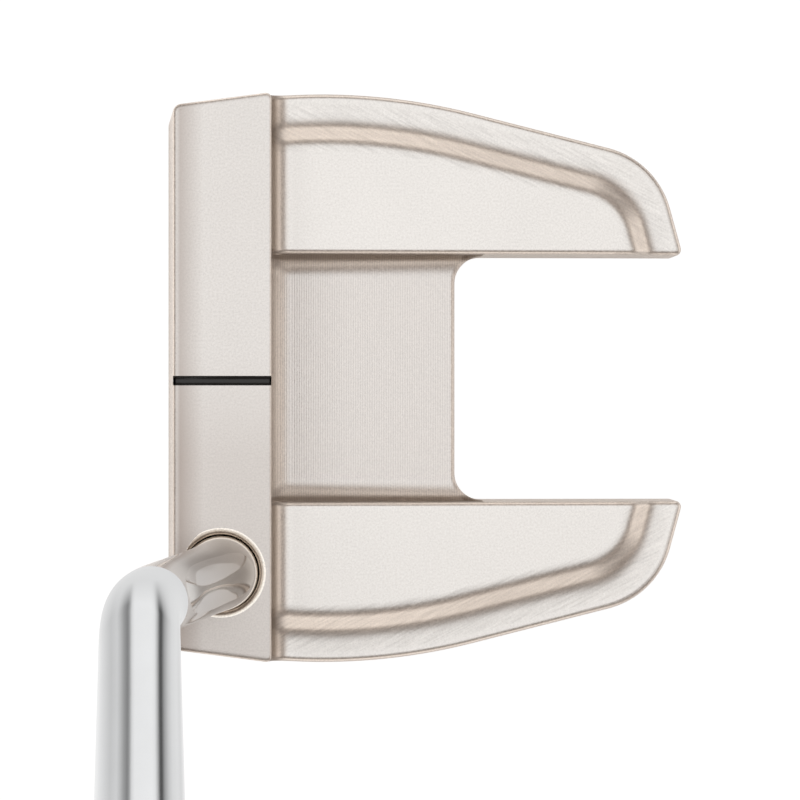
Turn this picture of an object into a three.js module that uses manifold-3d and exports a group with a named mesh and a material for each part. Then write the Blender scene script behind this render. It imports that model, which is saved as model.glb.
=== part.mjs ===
// Mallet putter: a milled fang-shaped head on a bent steel shaft with a pistol grip.
//
// Millimetres, +Z up.  The origin is on the ground under the middle of the head's web.
// +X points from the face to the back of the head, +Y to the toe, -Y to the heel.

import * as THREE from 'three';
import { mergeVertices } from 'three/addons/utils/BufferGeometryUtils.js';
import Module from 'manifold-3d';

const wasm = await Module();
wasm.setup();

const { degToRad } = THREE.MathUtils;

// ---------------------------------------------------------------- driving dimensions

const EDGE_BREAK = 0.4;          // rounding of the head's upper edges
const SOLE_BREAK = 0.9;          // rounding of the head's lower edges
const OVERLAP = 1.0;             // how far the rear body runs into the face bar before they are joined

const bar = {
  height: 25,
  frontX: -29.65,                // top of the face
  rearX: -14.7,
  frontHalfWidth: 41.0,
  rearHalfWidth: 43.0,
  frontCornerR: 1.4,
  rearCornerR: 0.8,
  loft: degToRad(2.5),
};

const wing = {
  deckZ: 11,                     // flat inner deck
  wallY: 19.82,                  // top of the inner wall, which borders the slot
  wallDraft: Math.tan(degToRad(2)),
  halfWidth: 44.35,              // widest point, at shoulderX
  shoulderX: -6,
  shoulderR: 95,
  sideTaper: degToRad(14),
  cornerR: 13.5,
  tipX: 50.25,                   // where the tip line meets the inner wall
  tipFlare: degToRad(15.4),
  tipR: 1.0,
  filletR: 1.9,                  // along the face bar
};

// Each wing is a flat deck standing over a lower flange that runs round its outside.  The step between them is
// hollow at its foot and rounded at its top.  Height over the deck, at each distance in from the outer outline.
const STEP_PROFILE = [
  { inset: EDGE_BREAK, rise: -2.72 },
  { inset: 2.0, rise: -2.68 },
  { inset: 3.2, rise: -2.66 },
  { inset: 4.3, rise: -2.47 },
  { inset: 5.4, rise: -1.82 },
  { inset: 6.9, rise: -0.47 },
  { inset: 7.5, rise: -0.12 },
  { inset: 8.2, rise: 0 },
];

const web = {
  deckZ: 5.5,
  rearX: 14.4,
  barFilletR: 3.8,
  wallFilletR: 2.6,
  slotCornerR: 4.2,
};

const bore = { x: -22.3, y: -29.4, radius: 5.7, floorZ: 3, mouthRound: 0.55 };
const sight = { y: -0.45, width: 1.32, depth: 0.9, paintGap: 0.12, paintTop: 0.1 };
const weight = { x: 2, y: 31, headR: 6.5, headHeight: 2.2, threadR: 5.2, depth: 8.2, gap: 0.3, recess: 0.35 };
const seal = { innerR: 5.45, outerR: 6.1, height: 0.5 };

// Round-ended pockets milled up into the sole to save weight, each from one end's centre to the other's.
const RELIEF_POCKETS = [
  { from: [-22.3, 8], to: [-22.3, 36], radius: 4.7, depth: 18 },
  { from: [-22.3, -6], to: [-22.3, -17], radius: 4.7, depth: 18 },
  { from: [18.5, 29.8], to: [37.5, 27.6], radius: 6.3, depth: 7 },
  { from: [18.5, -29.8], to: [37.5, -27.6], radius: 6.3, depth: 7 },
];

const shaft = {
  tipR: 5.15,
  bendR: 5.5,
  buttR: 7.5,
  wall: 0.8,
  lie: degToRad(70),
  lean: degToRad(1.5),           // the handle sits this far behind upright
  bendTop: [-33.15, -36.6, 76],  // where the straight upper length begins
  clubLength: 864,               // along the shaft from the ground to the end of the grip
  stepCount: 8,
  stepPitch: 44,
  firstStep: 190,                // height along the upper length of the lowest step
};
const grip = { length: 267, tapeThickness: 0.4, gap: 0.15, capThickness: 4, ventR: 1.2 };

const ROUND_SIDES = 32;
const TUBE_SIDES = 24;

// ---------------------------------------------------------------- materials

function finish(color, metalness, roughness) {
  return new THREE.MeshStandardMaterial({ color, metalness, roughness });
}

const satinSteel = finish(0xdcd6cf, 1, 0.38);
const blackPaint = finish(0x101010, 0, 0.25);
const weightSteel = finish(0x9b9791, 1, 0.3);
const chrome = finish(0xe4e6e8, 1, 0.06);
const epoxy = finish(0x2b2823, 0, 0.5);
const rubber = finish(0x1c1d1f, 0, 0.75);
const sealRubber = finish(0x17181a, 0, 0.6);
const tape = finish(0xcfc8ae, 0, 0.8);
const capPlastic = finish(0x17181a, 0, 0.35);

// ---------------------------------------------------------------- solids

// A closed geometry from points and triangles; triangles that have shrunk to a line are dropped.
function closedGeometry(points, faces) {
  const geometry = new THREE.BufferGeometry();
  geometry.setAttribute('position', new THREE.Float32BufferAttribute(points.flat(), 3));
  geometry.setIndex(faces.flat());
  const merged = mergeVertices(geometry, 1e-4);
  const index = merged.getIndex().array;
  const kept = [];
  for (let i = 0; i < index.length; i += 3) {
    const [a, b, c] = [index[i], index[i + 1], index[i + 2]];
    if (a !== b && b !== c && c !== a) kept.push(a, b, c);
  }
  merged.setIndex(kept);
  return merged;
}

function toManifold(geometry) {
  const bare = geometry.clone();
  bare.deleteAttribute('normal');
  bare.deleteAttribute('uv');
  const merged = mergeVertices(bare, 1e-4);
  return new wasm.Manifold(new wasm.Mesh({
    numProp: 3,
    vertProperties: new Float32Array(merged.getAttribute('position').array),
    triVerts: new Uint32Array(merged.getIndex().array),
  }));
}

function toGeometry(manifold) {
  const mesh = manifold.getMesh();
  const geometry = new THREE.BufferGeometry();
  geometry.setAttribute('position', new THREE.BufferAttribute(new Float32Array(mesh.vertProperties), 3));
  geometry.setIndex(new THREE.BufferAttribute(new Uint32Array(mesh.triVerts), 1));
  return geometry;
}

// Triangles of a flat outline, all wound the same way as seen from above.
function flatFaces(outline, clockwise) {
  const contour = outline.map(([x, y]) => new THREE.Vector2(x, y));
  return THREE.ShapeUtils.triangulateShape(contour, []).map(([a, b, c]) => {
    const [pa, pb, pc] = [contour[a], contour[b], contour[c]];
    const area = (pb.x - pa.x) * (pc.y - pa.y) - (pc.x - pa.x) * (pb.y - pa.y);
    return (area < 0) === clockwise ? [a, b, c] : [a, c, b];
  });
}

// Joins clockwise loops, from the highest to the lowest, into a closed solid with flat ends.
function loftLoops(loops) {
  const points = loops.flat();
  const count = loops[0].length;
  const faces = flatFaces(loops[0], false);
  for (let level = 0; level + 1 < loops.length; level++) {
    for (let i = 0; i < count; i++) {
      const next = (i + 1) % count;
      const [a, b] = [level * count + i, level * count + next];
      faces.push([a, b, b + count], [a, b + count, a + count]);
    }
  }
  const base = (loops.length - 1) * count;
  flatFaces(loops[loops.length - 1], true).forEach((face) => faces.push(face.map((i) => i + base)));
  return closedGeometry(points, faces);
}

// A solid whose top is a grid of points.  Row 0 is the far side and columns run towards +X.
// Border points carry an outward direction (nx, ny), along which the edges are rounded.
function slabFromGrid(grid, drop = () => 0) {
  const rows = grid.length;
  const columns = grid[0].length;
  const points = grid.flat().map(({ x, y, z }) => [x, y, z]);
  const faces = [];
  for (let r = 0; r + 1 < rows; r++) {
    for (let c = 0; c + 1 < columns; c++) {
      const a = r * columns + c;
      const b = a + columns;
      faces.push([a, b, b + 1], [a, b + 1, a + 1]);
    }
  }
  const border = gridBorder(rows, columns);
  const levels = [
    ({ x, y, z, nx, ny }) => [x + nx * EDGE_BREAK * 0.5, y + ny * EDGE_BREAK * 0.5, z - EDGE_BREAK * 0.134],
    ({ x, y, z, nx, ny }) => [x + nx * EDGE_BREAK, y + ny * EDGE_BREAK, z - EDGE_BREAK],
    (p) => belowEdge(p, EDGE_BREAK + drop(p), SOLE_BREAK),
    (p) => belowEdge(p, EDGE_BREAK + drop(p) - SOLE_BREAK, 0),
  ];
  let upper = border;
  for (const level of levels) {
    const base = points.length;
    border.forEach((i) => {
      const r = Math.floor(i / columns);
      points.push(level(grid[r][i - r * columns]));
    });
    const lower = border.map((_, i) => base + i);
    for (let i = 0; i < border.length; i++) {
      const next = (i + 1) % border.length;
      faces.push([upper[i], upper[next], lower[next]], [upper[i], lower[next], lower[i]]);
    }
    upper = lower;
  }
  flatFaces(upper.map((i) => points[i]), true).forEach((face) => faces.push(face.map((i) => upper[i])));
  return closedGeometry(points, faces);
}

function belowEdge({ x, y, nx, ny }, reach, z) {
  return [x + nx * reach, y + ny * reach, z];
}

// Indices around a grid, clockwise from above.
function gridBorder(rows, columns) {
  const border = [];
  for (let c = 0; c < columns; c++) border.push(c);
  for (let r = 1; r < rows; r++) border.push(r * columns + columns - 1);
  for (let c = columns - 2; c >= 0; c--) border.push((rows - 1) * columns + c);
  for (let r = rows - 2; r > 0; r--) border.push(r * columns);
  return border;
}

// Height of a concave fillet above its floor, at a distance from the wall that it meets.
function filletRise(distance, radius) {
  if (distance >= radius) return 0;
  const inward = radius - Math.max(distance, 0);
  return radius - Math.sqrt(radius * radius - inward * inward);
}

// Distances from a wall that follow a fillet's arc evenly, from the wall outwards.
function filletStations(radius, steps) {
  return Array.from({ length: steps + 1 }, (_, i) => radius * (1 - Math.cos((i / steps) * Math.PI / 2)));
}

function lerp(a, b, t) {
  return a + (b - a) * t;
}

function steps(count) {
  return Array.from({ length: count }, (_, i) => (i + 1) / count);
}

// ---------------------------------------------------------------- head

// Where two lines n.p = k meet.
function meet(n1, k1, n2, k2) {
  const det = n1[0] * n2[1] - n1[1] * n2[0];
  return [(k1 * n2[1] - k2 * n1[1]) / det, (n1[0] * k2 - n2[0] * k1) / det];
}

const SIDE_NORMAL = [Math.sin(wing.sideTaper), Math.cos(wing.sideTaper)];
const TIP_NORMAL = [Math.cos(wing.tipFlare), Math.sin(wing.tipFlare)];
const SHOULDER_Y = wing.halfWidth - wing.shoulderR;
const SIDE_REACH = SIDE_NORMAL[0] * wing.shoulderX + SIDE_NORMAL[1] * SHOULDER_Y + wing.shoulderR;
const TIP_REACH = TIP_NORMAL[0] * wing.tipX + TIP_NORMAL[1] * wing.wallY;
const CORNER = meet(SIDE_NORMAL, SIDE_REACH - wing.cornerR, TIP_NORMAL, TIP_REACH - wing.cornerR);

function around(centre, radius, angle) {
  const nx = Math.cos(angle);
  const ny = Math.sin(angle);
  return { x: centre[0] + radius * nx, y: centre[1] + radius * ny, nx, ny };
}

// One line along a wing, at a distance in from its outer outline, from the face bar to the inner wall.
function wingLine(inset) {
  const shoulderR = wing.shoulderR - inset;
  const shoulderPoint = (x) => {
    const nx = (x - wing.shoulderX) / shoulderR;
    const ny = Math.sqrt(1 - nx * nx);
    return { x, y: SHOULDER_Y + shoulderR * ny, nx, ny };
  };
  const line = [shoulderPoint(bar.rearX - OVERLAP)];
  filletStations(wing.filletR, 4).forEach((d) => line.push(shoulderPoint(bar.rearX + d)));
  const shoulderStart = bar.rearX + wing.filletR;
  const shoulderEnd = wing.shoulderX + shoulderR * SIDE_NORMAL[0];
  steps(8).forEach((t) => line.push(shoulderPoint(lerp(shoulderStart, shoulderEnd, t))));

  const cornerR = wing.cornerR - inset;
  const sideAngle = Math.PI / 2 - wing.sideTaper;
  const sideStart = line[line.length - 1];
  const sideEnd = around(CORNER, cornerR, sideAngle);
  steps(3).forEach((t) => line.push({ ...sideEnd, x: lerp(sideStart.x, sideEnd.x, t), y: lerp(sideStart.y, sideEnd.y, t) }));
  steps(9).forEach((t) => line.push(around(CORNER, cornerR, lerp(sideAngle, wing.tipFlare, t))));

  const wallLine = wing.wallY + EDGE_BREAK;
  const tipR = (wing.tipR - EDGE_BREAK) * Math.max(0, 1 - (inset - EDGE_BREAK));
  const tipCentre = meet(TIP_NORMAL, TIP_REACH - inset - tipR, [0, 1], wallLine + tipR);
  const tipStart = line[line.length - 1];
  const tipEnd = around(tipCentre, tipR, wing.tipFlare);
  steps(4).forEach((t) => line.push({ ...tipEnd, x: lerp(tipStart.x, tipEnd.x, t), y: lerp(tipStart.y, tipEnd.y, t) }));
  steps(4).forEach((t) => line.push(around(tipCentre, tipR, lerp(wing.tipFlare, -Math.PI / 2, t))));
  return line;
}

// The line of points where the deck meets the inner wall, one for each point of the innermost line.
function wallLine(innerLine) {
  const y = wing.wallY + EDGE_BREAK;
  const start = bar.rearX + wing.filletR;
  const first = innerLine.findIndex((p) => p.x > start + 1e-6);
  const end = innerLine[innerLine.length - 1].x;
  return innerLine.map((p, i) => {
    const x = i < first ? p.x : lerp(start, end, (i - first + 1) / (innerLine.length - first));
    return { x, y, nx: 0, ny: -1 };
  });
}

function makeWing() {
  const lines = STEP_PROFILE.map(({ inset, rise }) => wingLine(inset).map((p) => ({ ...p, rise })));
  lines.push(wallLine(lines[lines.length - 1]).map((p) => ({ ...p, rise: 0 })));
  const lastColumn = lines[0].length - 1;
  const grid = lines.map((line, r) => line.map((p, c) => {
    const z = wing.deckZ + p.rise + filletRise(p.x - bar.rearX, wing.filletR);
    if (r === 0 || r === lines.length - 1) return { ...p, z };
    if (c === lastColumn) return { ...p, z, nx: 0, ny: -1 };
    return { ...p, z, nx: 0, ny: 0 };
  }));
  return slabFromGrid(grid, (p) => (p.ny === -1 ? wing.deckZ * wing.wallDraft : 0));
}

function makeWeb() {
  const innerWall = wing.wallY - wing.deckZ * wing.wallDraft;
  const cornerY = innerWall - web.slotCornerR;
  const cornerX = web.rearX + web.slotCornerR;
  const halfRows = [{ y: wing.wallY + OVERLAP, x: cornerX, nx: 0, ny: 0 }];
  for (const t of steps(8).reverse()) {
    const angle = t * Math.PI / 2;
    halfRows.push({
      y: cornerY + web.slotCornerR * Math.sin(angle),
      x: cornerX - web.slotCornerR * Math.cos(angle),
      nx: Math.cos(angle),
      ny: -Math.sin(angle),
    });
  }
  halfRows.push({ y: cornerY, x: web.rearX, nx: 1, ny: 0 });
  const mirrored = halfRows.map((p) => ({ ...p, y: -p.y, ny: -p.ny })).reverse();
  const start = bar.rearX + web.barFilletR;
  const grid = [...halfRows, ...mirrored].map((edge) => {
    const rise = filletRise(wing.wallY - Math.abs(edge.y), web.wallFilletR);
    const rearX = edge.x - edge.nx * EDGE_BREAK;
    const rearY = edge.y - edge.ny * EDGE_BREAK;
    const xs = [bar.rearX - OVERLAP, ...filletStations(web.barFilletR, 5).map((d) => bar.rearX + d)];
    const row = xs.map((x) => ({ x, y: edge.y, nx: 0, ny: 0 }));
    row.push({ x: lerp(start, rearX, 0.6), y: edge.y, nx: 0, ny: 0 });
    row.push({ x: rearX, y: rearY, nx: edge.nx, ny: edge.ny });
    return row.map((p) => ({ ...p, z: web.deckZ + rise + filletRise(p.x - bar.rearX, web.barFilletR) }));
  });
  return slabFromGrid(grid);
}

// The face bar's outline drawn in by an amount, clockwise from above, with rounded corners.
function barOutline(inset, z) {
  const sideAngle = Math.atan2(bar.rearHalfWidth - bar.frontHalfWidth, bar.rearX - bar.frontX);
  const sideNormal = [-Math.sin(sideAngle), Math.cos(sideAngle)];
  const sideReach = sideNormal[0] * bar.rearX + sideNormal[1] * bar.rearHalfWidth;
  const corner = (wallX, outward, radius, from, to) => {
    const r = Math.max(radius - inset, 0.1);
    const x = wallX - outward * (inset + r);
    const y = (sideReach - inset - r - sideNormal[0] * x) / sideNormal[1];
    return [0, ...steps(4)].map((t) => around([x, y], r, lerp(from, to, t)));
  };
  const side = Math.PI / 2 + sideAngle;
  const front = corner(bar.frontX, -1, bar.frontCornerR, Math.PI, side);
  const rear = corner(bar.rearX, 1, bar.rearCornerR, side, 0);
  const toe = [...front, ...rear];
  const heel = toe.map((p) => ({ ...p, y: -p.y })).reverse();
  return [...toe, ...heel].map(({ x, y }) => {
    const forward = (bar.rearX - x) / (bar.rearX - bar.frontX);
    return [x - forward * (bar.height - z) * Math.tan(bar.loft), y, z];
  });
}

function makeBar() {
  return loftLoops([
    barOutline(EDGE_BREAK, bar.height),
    barOutline(EDGE_BREAK * 0.5, bar.height - EDGE_BREAK * 0.134),
    barOutline(0, bar.height - EDGE_BREAK),
    barOutline(0, SOLE_BREAK),
    barOutline(SOLE_BREAK, 0),
  ]);
}

// A solid of revolution about +Z from [radius, z] pairs.
function turned(profile, sides = ROUND_SIDES) {
  const geometry = new THREE.LatheGeometry(profile.map(([r, z]) => new THREE.Vector2(r, z)), sides);
  return geometry.rotateX(Math.PI / 2);
}

function boreCutter() {
  const top = bar.height + 1;
  const mouthR = bore.radius + bore.mouthRound;
  const round = [0, ...steps(4)].map((t) => {
    const angle = Math.PI - t * Math.PI / 2;
    return [mouthR + bore.mouthRound * Math.cos(angle), bar.height - bore.mouthRound * (1 - Math.sin(angle))];
  });
  const profile = [[0, bore.floorZ], [bore.radius, bore.floorZ], ...round, [mouthR, top], [0, top]];
  return turned(profile).translate(bore.x, bore.y, 0);
}

// A round-bottomed bar along X, used for the sight groove and for the paint that fills it.
function sightBar(width, depth, topZ, fromX, toX) {
  const r = width / 2;
  const bottom = [0, ...steps(6)].map((t) => {
    const { x, y } = around([0, topZ - depth + r], r, lerp(Math.PI, 2 * Math.PI, t));
    return new THREE.Vector2(x, y);
  });
  const section = new THREE.Shape([new THREE.Vector2(-r, topZ), ...bottom, new THREE.Vector2(r, topZ)]);
  const geometry = new THREE.ExtrudeGeometry(section, { depth: toX - fromX, bevelEnabled: false });
  return geometry.rotateX(Math.PI / 2).rotateZ(Math.PI / 2).translate(fromX, sight.y, 0);
}

function weightPocket() {
  const headR = weight.headR + weight.gap;
  const threadR = weight.threadR + weight.gap;
  const ledge = weight.recess + weight.headHeight + seal.height + weight.gap;
  return turned([[0, -1], [headR, -1], [headR, ledge], [threadR, ledge], [threadR, weight.depth], [0, weight.depth]]);
}

function reliefCutter({ from, to, radius, depth }) {
  const heading = Math.atan2(to[1] - from[1], to[0] - from[0]);
  const end = (centre, start) => [0, ...steps(8)].map((t) => {
    const { x, y } = around(centre, radius, start + t * Math.PI);
    return new THREE.Vector2(x, y);
  });
  const outline = new THREE.Shape([...end(to, heading - Math.PI / 2), ...end(from, heading + Math.PI / 2)]);
  return new THREE.ExtrudeGeometry(outline, { depth: depth + 1, bevelEnabled: false }).translate(0, 0, -1);
}

function mirroredY(manifold) {
  return manifold.mirror([0, 1, 0]);
}

function makeHead() {
  const toeWing = toManifold(makeWing());
  const groove = sightBar(sight.width, sight.depth + 1, bar.height + 1, bar.frontX - 2, bar.rearX + 2);
  let head = toManifold(makeBar()).add(toeWing).add(mirroredY(toeWing)).add(toManifold(makeWeb()));
  head = head.subtract(toManifold(boreCutter())).subtract(toManifold(groove));
  for (const side of [1, -1]) {
    head = head.subtract(toManifold(weightPocket().translate(weight.x, side * weight.y, 0)));
  }
  for (const pocket of RELIEF_POCKETS) {
    head = head.subtract(toManifold(reliefCutter(pocket)));
  }
  return toGeometry(head);
}

function makeSightPaint() {
  const width = sight.width - 2 * sight.paintGap;
  const depth = sight.depth - sight.paintGap - sight.paintTop;
  return sightBar(width, depth, bar.height - sight.paintTop, bar.frontX + EDGE_BREAK, bar.rearX - EDGE_BREAK);
}

// ---------------------------------------------------------------- sole weights

function makeWeight(side) {
  const bottom = weight.recess;
  const ledge = bottom + weight.headHeight;
  const top = weight.depth - weight.gap;
  const body = turned([
    [0, bottom],
    [weight.headR - 0.3, bottom],
    [weight.headR, bottom + 0.3],
    [weight.headR, ledge],
    [weight.threadR, ledge],
    [weight.threadR, top - 0.5],
    [weight.threadR - 0.5, top],
    [0, top],
  ]);
  const socket = turned([[0, bottom - 1], [2.2, bottom - 1], [2.2, bottom + 2.6], [0, bottom + 2.6]], 6);
  return toGeometry(toManifold(body).subtract(toManifold(socket))).translate(weight.x, side * weight.y, 0);
}

function makeSeal(side) {
  const bottom = weight.recess + weight.headHeight + 0.15;
  const top = bottom + seal.height;
  const ring = [[seal.innerR, bottom], [seal.outerR, bottom], [seal.outerR, top], [seal.innerR, top], [seal.innerR, bottom]];
  return toGeometry(toManifold(turned(ring))).translate(weight.x, side * weight.y, 0);
}

// ---------------------------------------------------------------- shaft

// Direction of the straight upper length of the shaft.
const SHAFT_DIRECTION = new THREE.Vector3(
  Math.tan(shaft.lean),
  -1 / Math.tan(shaft.lie),
  1,
).normalize();
const BEND_TOP = new THREE.Vector3(...shaft.bendTop);

// The upper length ends where the club's length, measured along the shaft from the ground, is reached.
const UPPER_LENGTH = shaft.clubLength - BEND_TOP.z / SHAFT_DIRECTION.z - grip.capThickness;

function shaftCurve() {
  const up = (z) => new THREE.Vector3(bore.x, bore.y, z);
  const curve = new THREE.CurvePath();
  curve.add(new THREE.LineCurve3(up(bore.floorZ + 0.6), up(bar.height - 1)));
  curve.add(new THREE.CubicBezierCurve3(
    up(bar.height - 1),
    up(bar.height + 7),
    new THREE.Vector3(-26.6, -30.7, 37.2),
    new THREE.Vector3(-29.3, -31.4, 42.5),
  ));
  curve.add(new THREE.CubicBezierCurve3(
    new THREE.Vector3(-29.3, -31.4, 42.5),
    new THREE.Vector3(-33.4, -32.5, 50.5),
    BEND_TOP.clone().addScaledVector(SHAFT_DIRECTION, -14),
    BEND_TOP,
  ));
  return curve;
}

// Radius along the upper length: small steps up towards the butt.
function upperRadius(distance) {
  const stepRise = (shaft.buttR - shaft.bendR) / shaft.stepCount;
  const passed = Math.floor((distance - shaft.firstStep) / shaft.stepPitch) + 1;
  return shaft.bendR + stepRise * THREE.MathUtils.clamp(passed, 0, shaft.stepCount);
}

// Points along the shaft's axis with the radius at each.
function shaftStations() {
  const stations = [];
  const [socket, lower, upper] = shaftCurve().curves;
  stations.push({ point: socket.getPoint(0), radius: shaft.tipR });
  stations.push({ point: socket.getPoint(1), radius: shaft.tipR });
  steps(8).forEach((t) => stations.push({ point: lower.getPoint(t), radius: shaft.tipR }));
  steps(12).forEach((t) => stations.push({
    point: upper.getPoint(t),
    radius: lerp(shaft.tipR, shaft.bendR, THREE.MathUtils.smoothstep(t, 0, 1)),
  }));
  const along = (distance) => BEND_TOP.clone().addScaledVector(SHAFT_DIRECTION, distance);
  for (let i = 0; i < shaft.stepCount; i++) {
    const distance = shaft.firstStep + i * shaft.stepPitch;
    stations.push({ point: along(distance - 1.2), radius: upperRadius(distance - 1) });
    stations.push({ point: along(distance), radius: upperRadius(distance) });
  }
  stations.push({ point: along(UPPER_LENGTH), radius: shaft.buttR });
  return stations;
}

// A closed tube swept along stations without twisting: outer skin, inner skin and two end rings.
function sweptTube(stations, wall, sides) {
  const points = [];
  const faces = [];
  let across = new THREE.Vector3(0, 1, 0);
  stations.forEach(({ point, radius }, i) => {
    const before = stations[Math.max(i - 1, 0)].point;
    const after = stations[Math.min(i + 1, stations.length - 1)].point;
    const tangent = after.clone().sub(before).normalize();
    across = across.clone().addScaledVector(tangent, -across.dot(tangent)).normalize();
    const other = tangent.clone().cross(across);
    for (const r of [radius, radius - wall]) {
      for (let s = 0; s < sides; s++) {
        const angle = (s / sides) * 2 * Math.PI;
        const p = point.clone().addScaledVector(across, r * Math.cos(angle)).addScaledVector(other, r * Math.sin(angle));
        points.push(p.toArray());
      }
    }
  });
  const ring = 2 * sides;
  const last = (stations.length - 1) * ring;
  for (let s = 0; s < sides; s++) {
    const next = (s + 1) % sides;
    for (let base = 0; base < last; base += ring) {
      const [a, b] = [base + s, base + next];
      faces.push([a, b, b + ring], [a, b + ring, a + ring]);
      const [c, d] = [a + sides, b + sides];
      faces.push([c, d + ring, d], [c, c + ring, d + ring]);
    }
    faces.push([s, s + sides, next + sides], [s, next + sides, next]);
    const [e, f] = [last + s, last + next];
    faces.push([e, f + sides, e + sides], [e, f, f + sides]);
  }
  return closedGeometry(points, faces);
}

function makeShaft() {
  return sweptTube(shaftStations(), shaft.wall, TUBE_SIDES);
}

function makeShaftBond() {
  const inner = shaft.tipR + 0.1;
  const outer = bore.radius - 0.1;
  const [low, high] = [bore.floorZ + 0.6, bar.height - 2];
  const ring = [[inner, low], [outer, low], [outer, high], [inner, high], [inner, low]];
  return toGeometry(toManifold(turned(ring))).translate(bore.x, bore.y, 0);
}

// ---------------------------------------------------------------- grip

// The grip's group: its local +Z runs up the shaft from the grip's lower mouth, and its flat faces +Y.
const gripGroup = new THREE.Group();
const GRIP_START = UPPER_LENGTH - grip.length + grip.gap;
{
  const up = SHAFT_DIRECTION;
  const flat = new THREE.Vector3(0, 1, 0).addScaledVector(up, -up.y).normalize();
  const sideways = flat.clone().cross(up);
  gripGroup.matrixAutoUpdate = false;
  gripGroup.matrix.makeBasis(sideways, flat, up);
  gripGroup.matrix.setPosition(BEND_TOP.clone().addScaledVector(up, GRIP_START));
}

const TAPE_OUTER = shaft.buttR + grip.gap + grip.tapeThickness;
const GRIP_BORE = TAPE_OUTER + grip.gap;

// Half width, reach of the flat front and reach of the back at a fraction of the grip's length.
function gripSection(t) {
  const palm = THREE.MathUtils.smoothstep(t, 0.45, 1);
  return {
    half: lerp(10.4, 13.2, Math.pow(t, 0.8)),
    front: lerp(9.9, 10.6, t),
    back: lerp(10.4, 13.4, t) + 4.6 * palm - 1.8 * THREE.MathUtils.smoothstep(t, 0.9, 1),
  };
}

// A rounded D: round at the back, flat at the front, clockwise from above.
function gripLoop(t, z, shrink = 0) {
  const { half, front, back } = gripSection(t);
  const loop = [];
  for (let i = 0; i < TUBE_SIDES; i++) {
    const angle = -(i / TUBE_SIDES) * 2 * Math.PI;
    const [c, s] = [Math.cos(angle), Math.sin(angle)];
    const squareness = s > 0 ? 0.62 : 0.95;
    const x = Math.sign(c) * Math.pow(Math.abs(c), squareness) * (half - shrink);
    const y = Math.sign(s) * Math.pow(Math.abs(s), squareness) * ((s > 0 ? front : back) - shrink);
    loop.push([x, y, z]);
  }
  return loop;
}

function makeGripBody() {
  const loops = [gripLoop(1, grip.length)];
  for (const t of steps(14).map((v) => 1 - v)) loops.push(gripLoop(t, t * grip.length));
  const hole = turned([[0, -1], [GRIP_BORE, -1], [GRIP_BORE, grip.length + 1], [0, grip.length + 1]], TUBE_SIDES);
  return toGeometry(toManifold(loftLoops(loops)).subtract(toManifold(hole)));
}

function makeGripTape() {
  const inner = shaft.buttR + grip.gap;
  const [low, high] = [4, grip.length - 2];
  const ring = [[inner, low], [TAPE_OUTER, low], [TAPE_OUTER, high], [inner, high], [inner, low]];
  return turned(ring, TUBE_SIDES);
}

function makeGripCap() {
  const bottom = grip.length + 0.3;
  const top = bottom + grip.capThickness;
  const body = loftLoops([
    gripLoop(1, top, 3),
    gripLoop(1, top - 1, 1),
    gripLoop(1, top - 2.4, 0.2),
    gripLoop(1, bottom),
  ]);
  const vent = turned([[0, bottom - 1], [grip.ventR, bottom - 1], [grip.ventR, top + 1], [0, top + 1]], 12);
  return toGeometry(toManifold(body).subtract(toManifold(vent)));
}

// ---------------------------------------------------------------- assembly

function piece(name, geometry, material) {
  const mesh = new THREE.Mesh(geometry, material);
  mesh.name = name;
  return mesh;
}

const putter = new THREE.Group();
putter.add(
  piece('head_body', makeHead(), satinSteel),
  piece('sight_line_paint', makeSightPaint(), blackPaint),
  piece('toe_sole_weight', makeWeight(1), weightSteel),
  piece('heel_sole_weight', makeWeight(-1), weightSteel),
  piece('toe_weight_seal', makeSeal(1), sealRubber),
  piece('heel_weight_seal', makeSeal(-1), sealRubber),
  piece('shaft', makeShaft(), chrome),
  piece('shaft_bond', makeShaftBond(), epoxy),
);
gripGroup.add(
  piece('grip_tape', makeGripTape(), tape),
  piece('grip_body', makeGripBody(), rubber),
  piece('grip_cap', makeGripCap(), capPlastic),
);
putter.add(gripGroup);

export default putter;
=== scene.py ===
"""Mallet putter: the visual model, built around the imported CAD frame.

Blender works in metres.  The shapes here are worked out in millimetres and scaled once, in solid_object().
+X points from the face to the back of the head, +Y to the toe, +Z up.
"""

import math

import bmesh
import bpy
import numpy as np
from mathutils import Matrix, Vector


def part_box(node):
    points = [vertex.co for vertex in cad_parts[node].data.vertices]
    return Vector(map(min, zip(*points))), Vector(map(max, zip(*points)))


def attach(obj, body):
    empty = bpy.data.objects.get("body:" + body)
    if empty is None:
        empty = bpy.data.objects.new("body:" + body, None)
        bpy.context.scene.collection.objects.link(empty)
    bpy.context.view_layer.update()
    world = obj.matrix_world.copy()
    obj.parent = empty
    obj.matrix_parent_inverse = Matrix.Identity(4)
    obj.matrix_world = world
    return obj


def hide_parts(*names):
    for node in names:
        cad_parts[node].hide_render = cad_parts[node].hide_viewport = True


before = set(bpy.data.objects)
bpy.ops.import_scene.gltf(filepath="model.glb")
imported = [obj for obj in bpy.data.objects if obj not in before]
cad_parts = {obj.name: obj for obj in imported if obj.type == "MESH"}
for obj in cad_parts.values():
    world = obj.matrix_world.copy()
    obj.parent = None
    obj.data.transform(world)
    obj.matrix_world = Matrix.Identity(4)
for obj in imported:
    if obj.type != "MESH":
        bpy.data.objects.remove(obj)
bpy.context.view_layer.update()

MM = 0.001

# ---- sizes, in millimetres

HEAD_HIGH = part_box("head_body")[1] / MM

EDGE = 0.88  # rounding of the wings' and the web's upper edges
SOLE_BREAK = 0.9  # rounding of every edge along the sole
OVERLAP = 1.0  # how far the rear body runs into the face bar before they are joined

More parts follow.
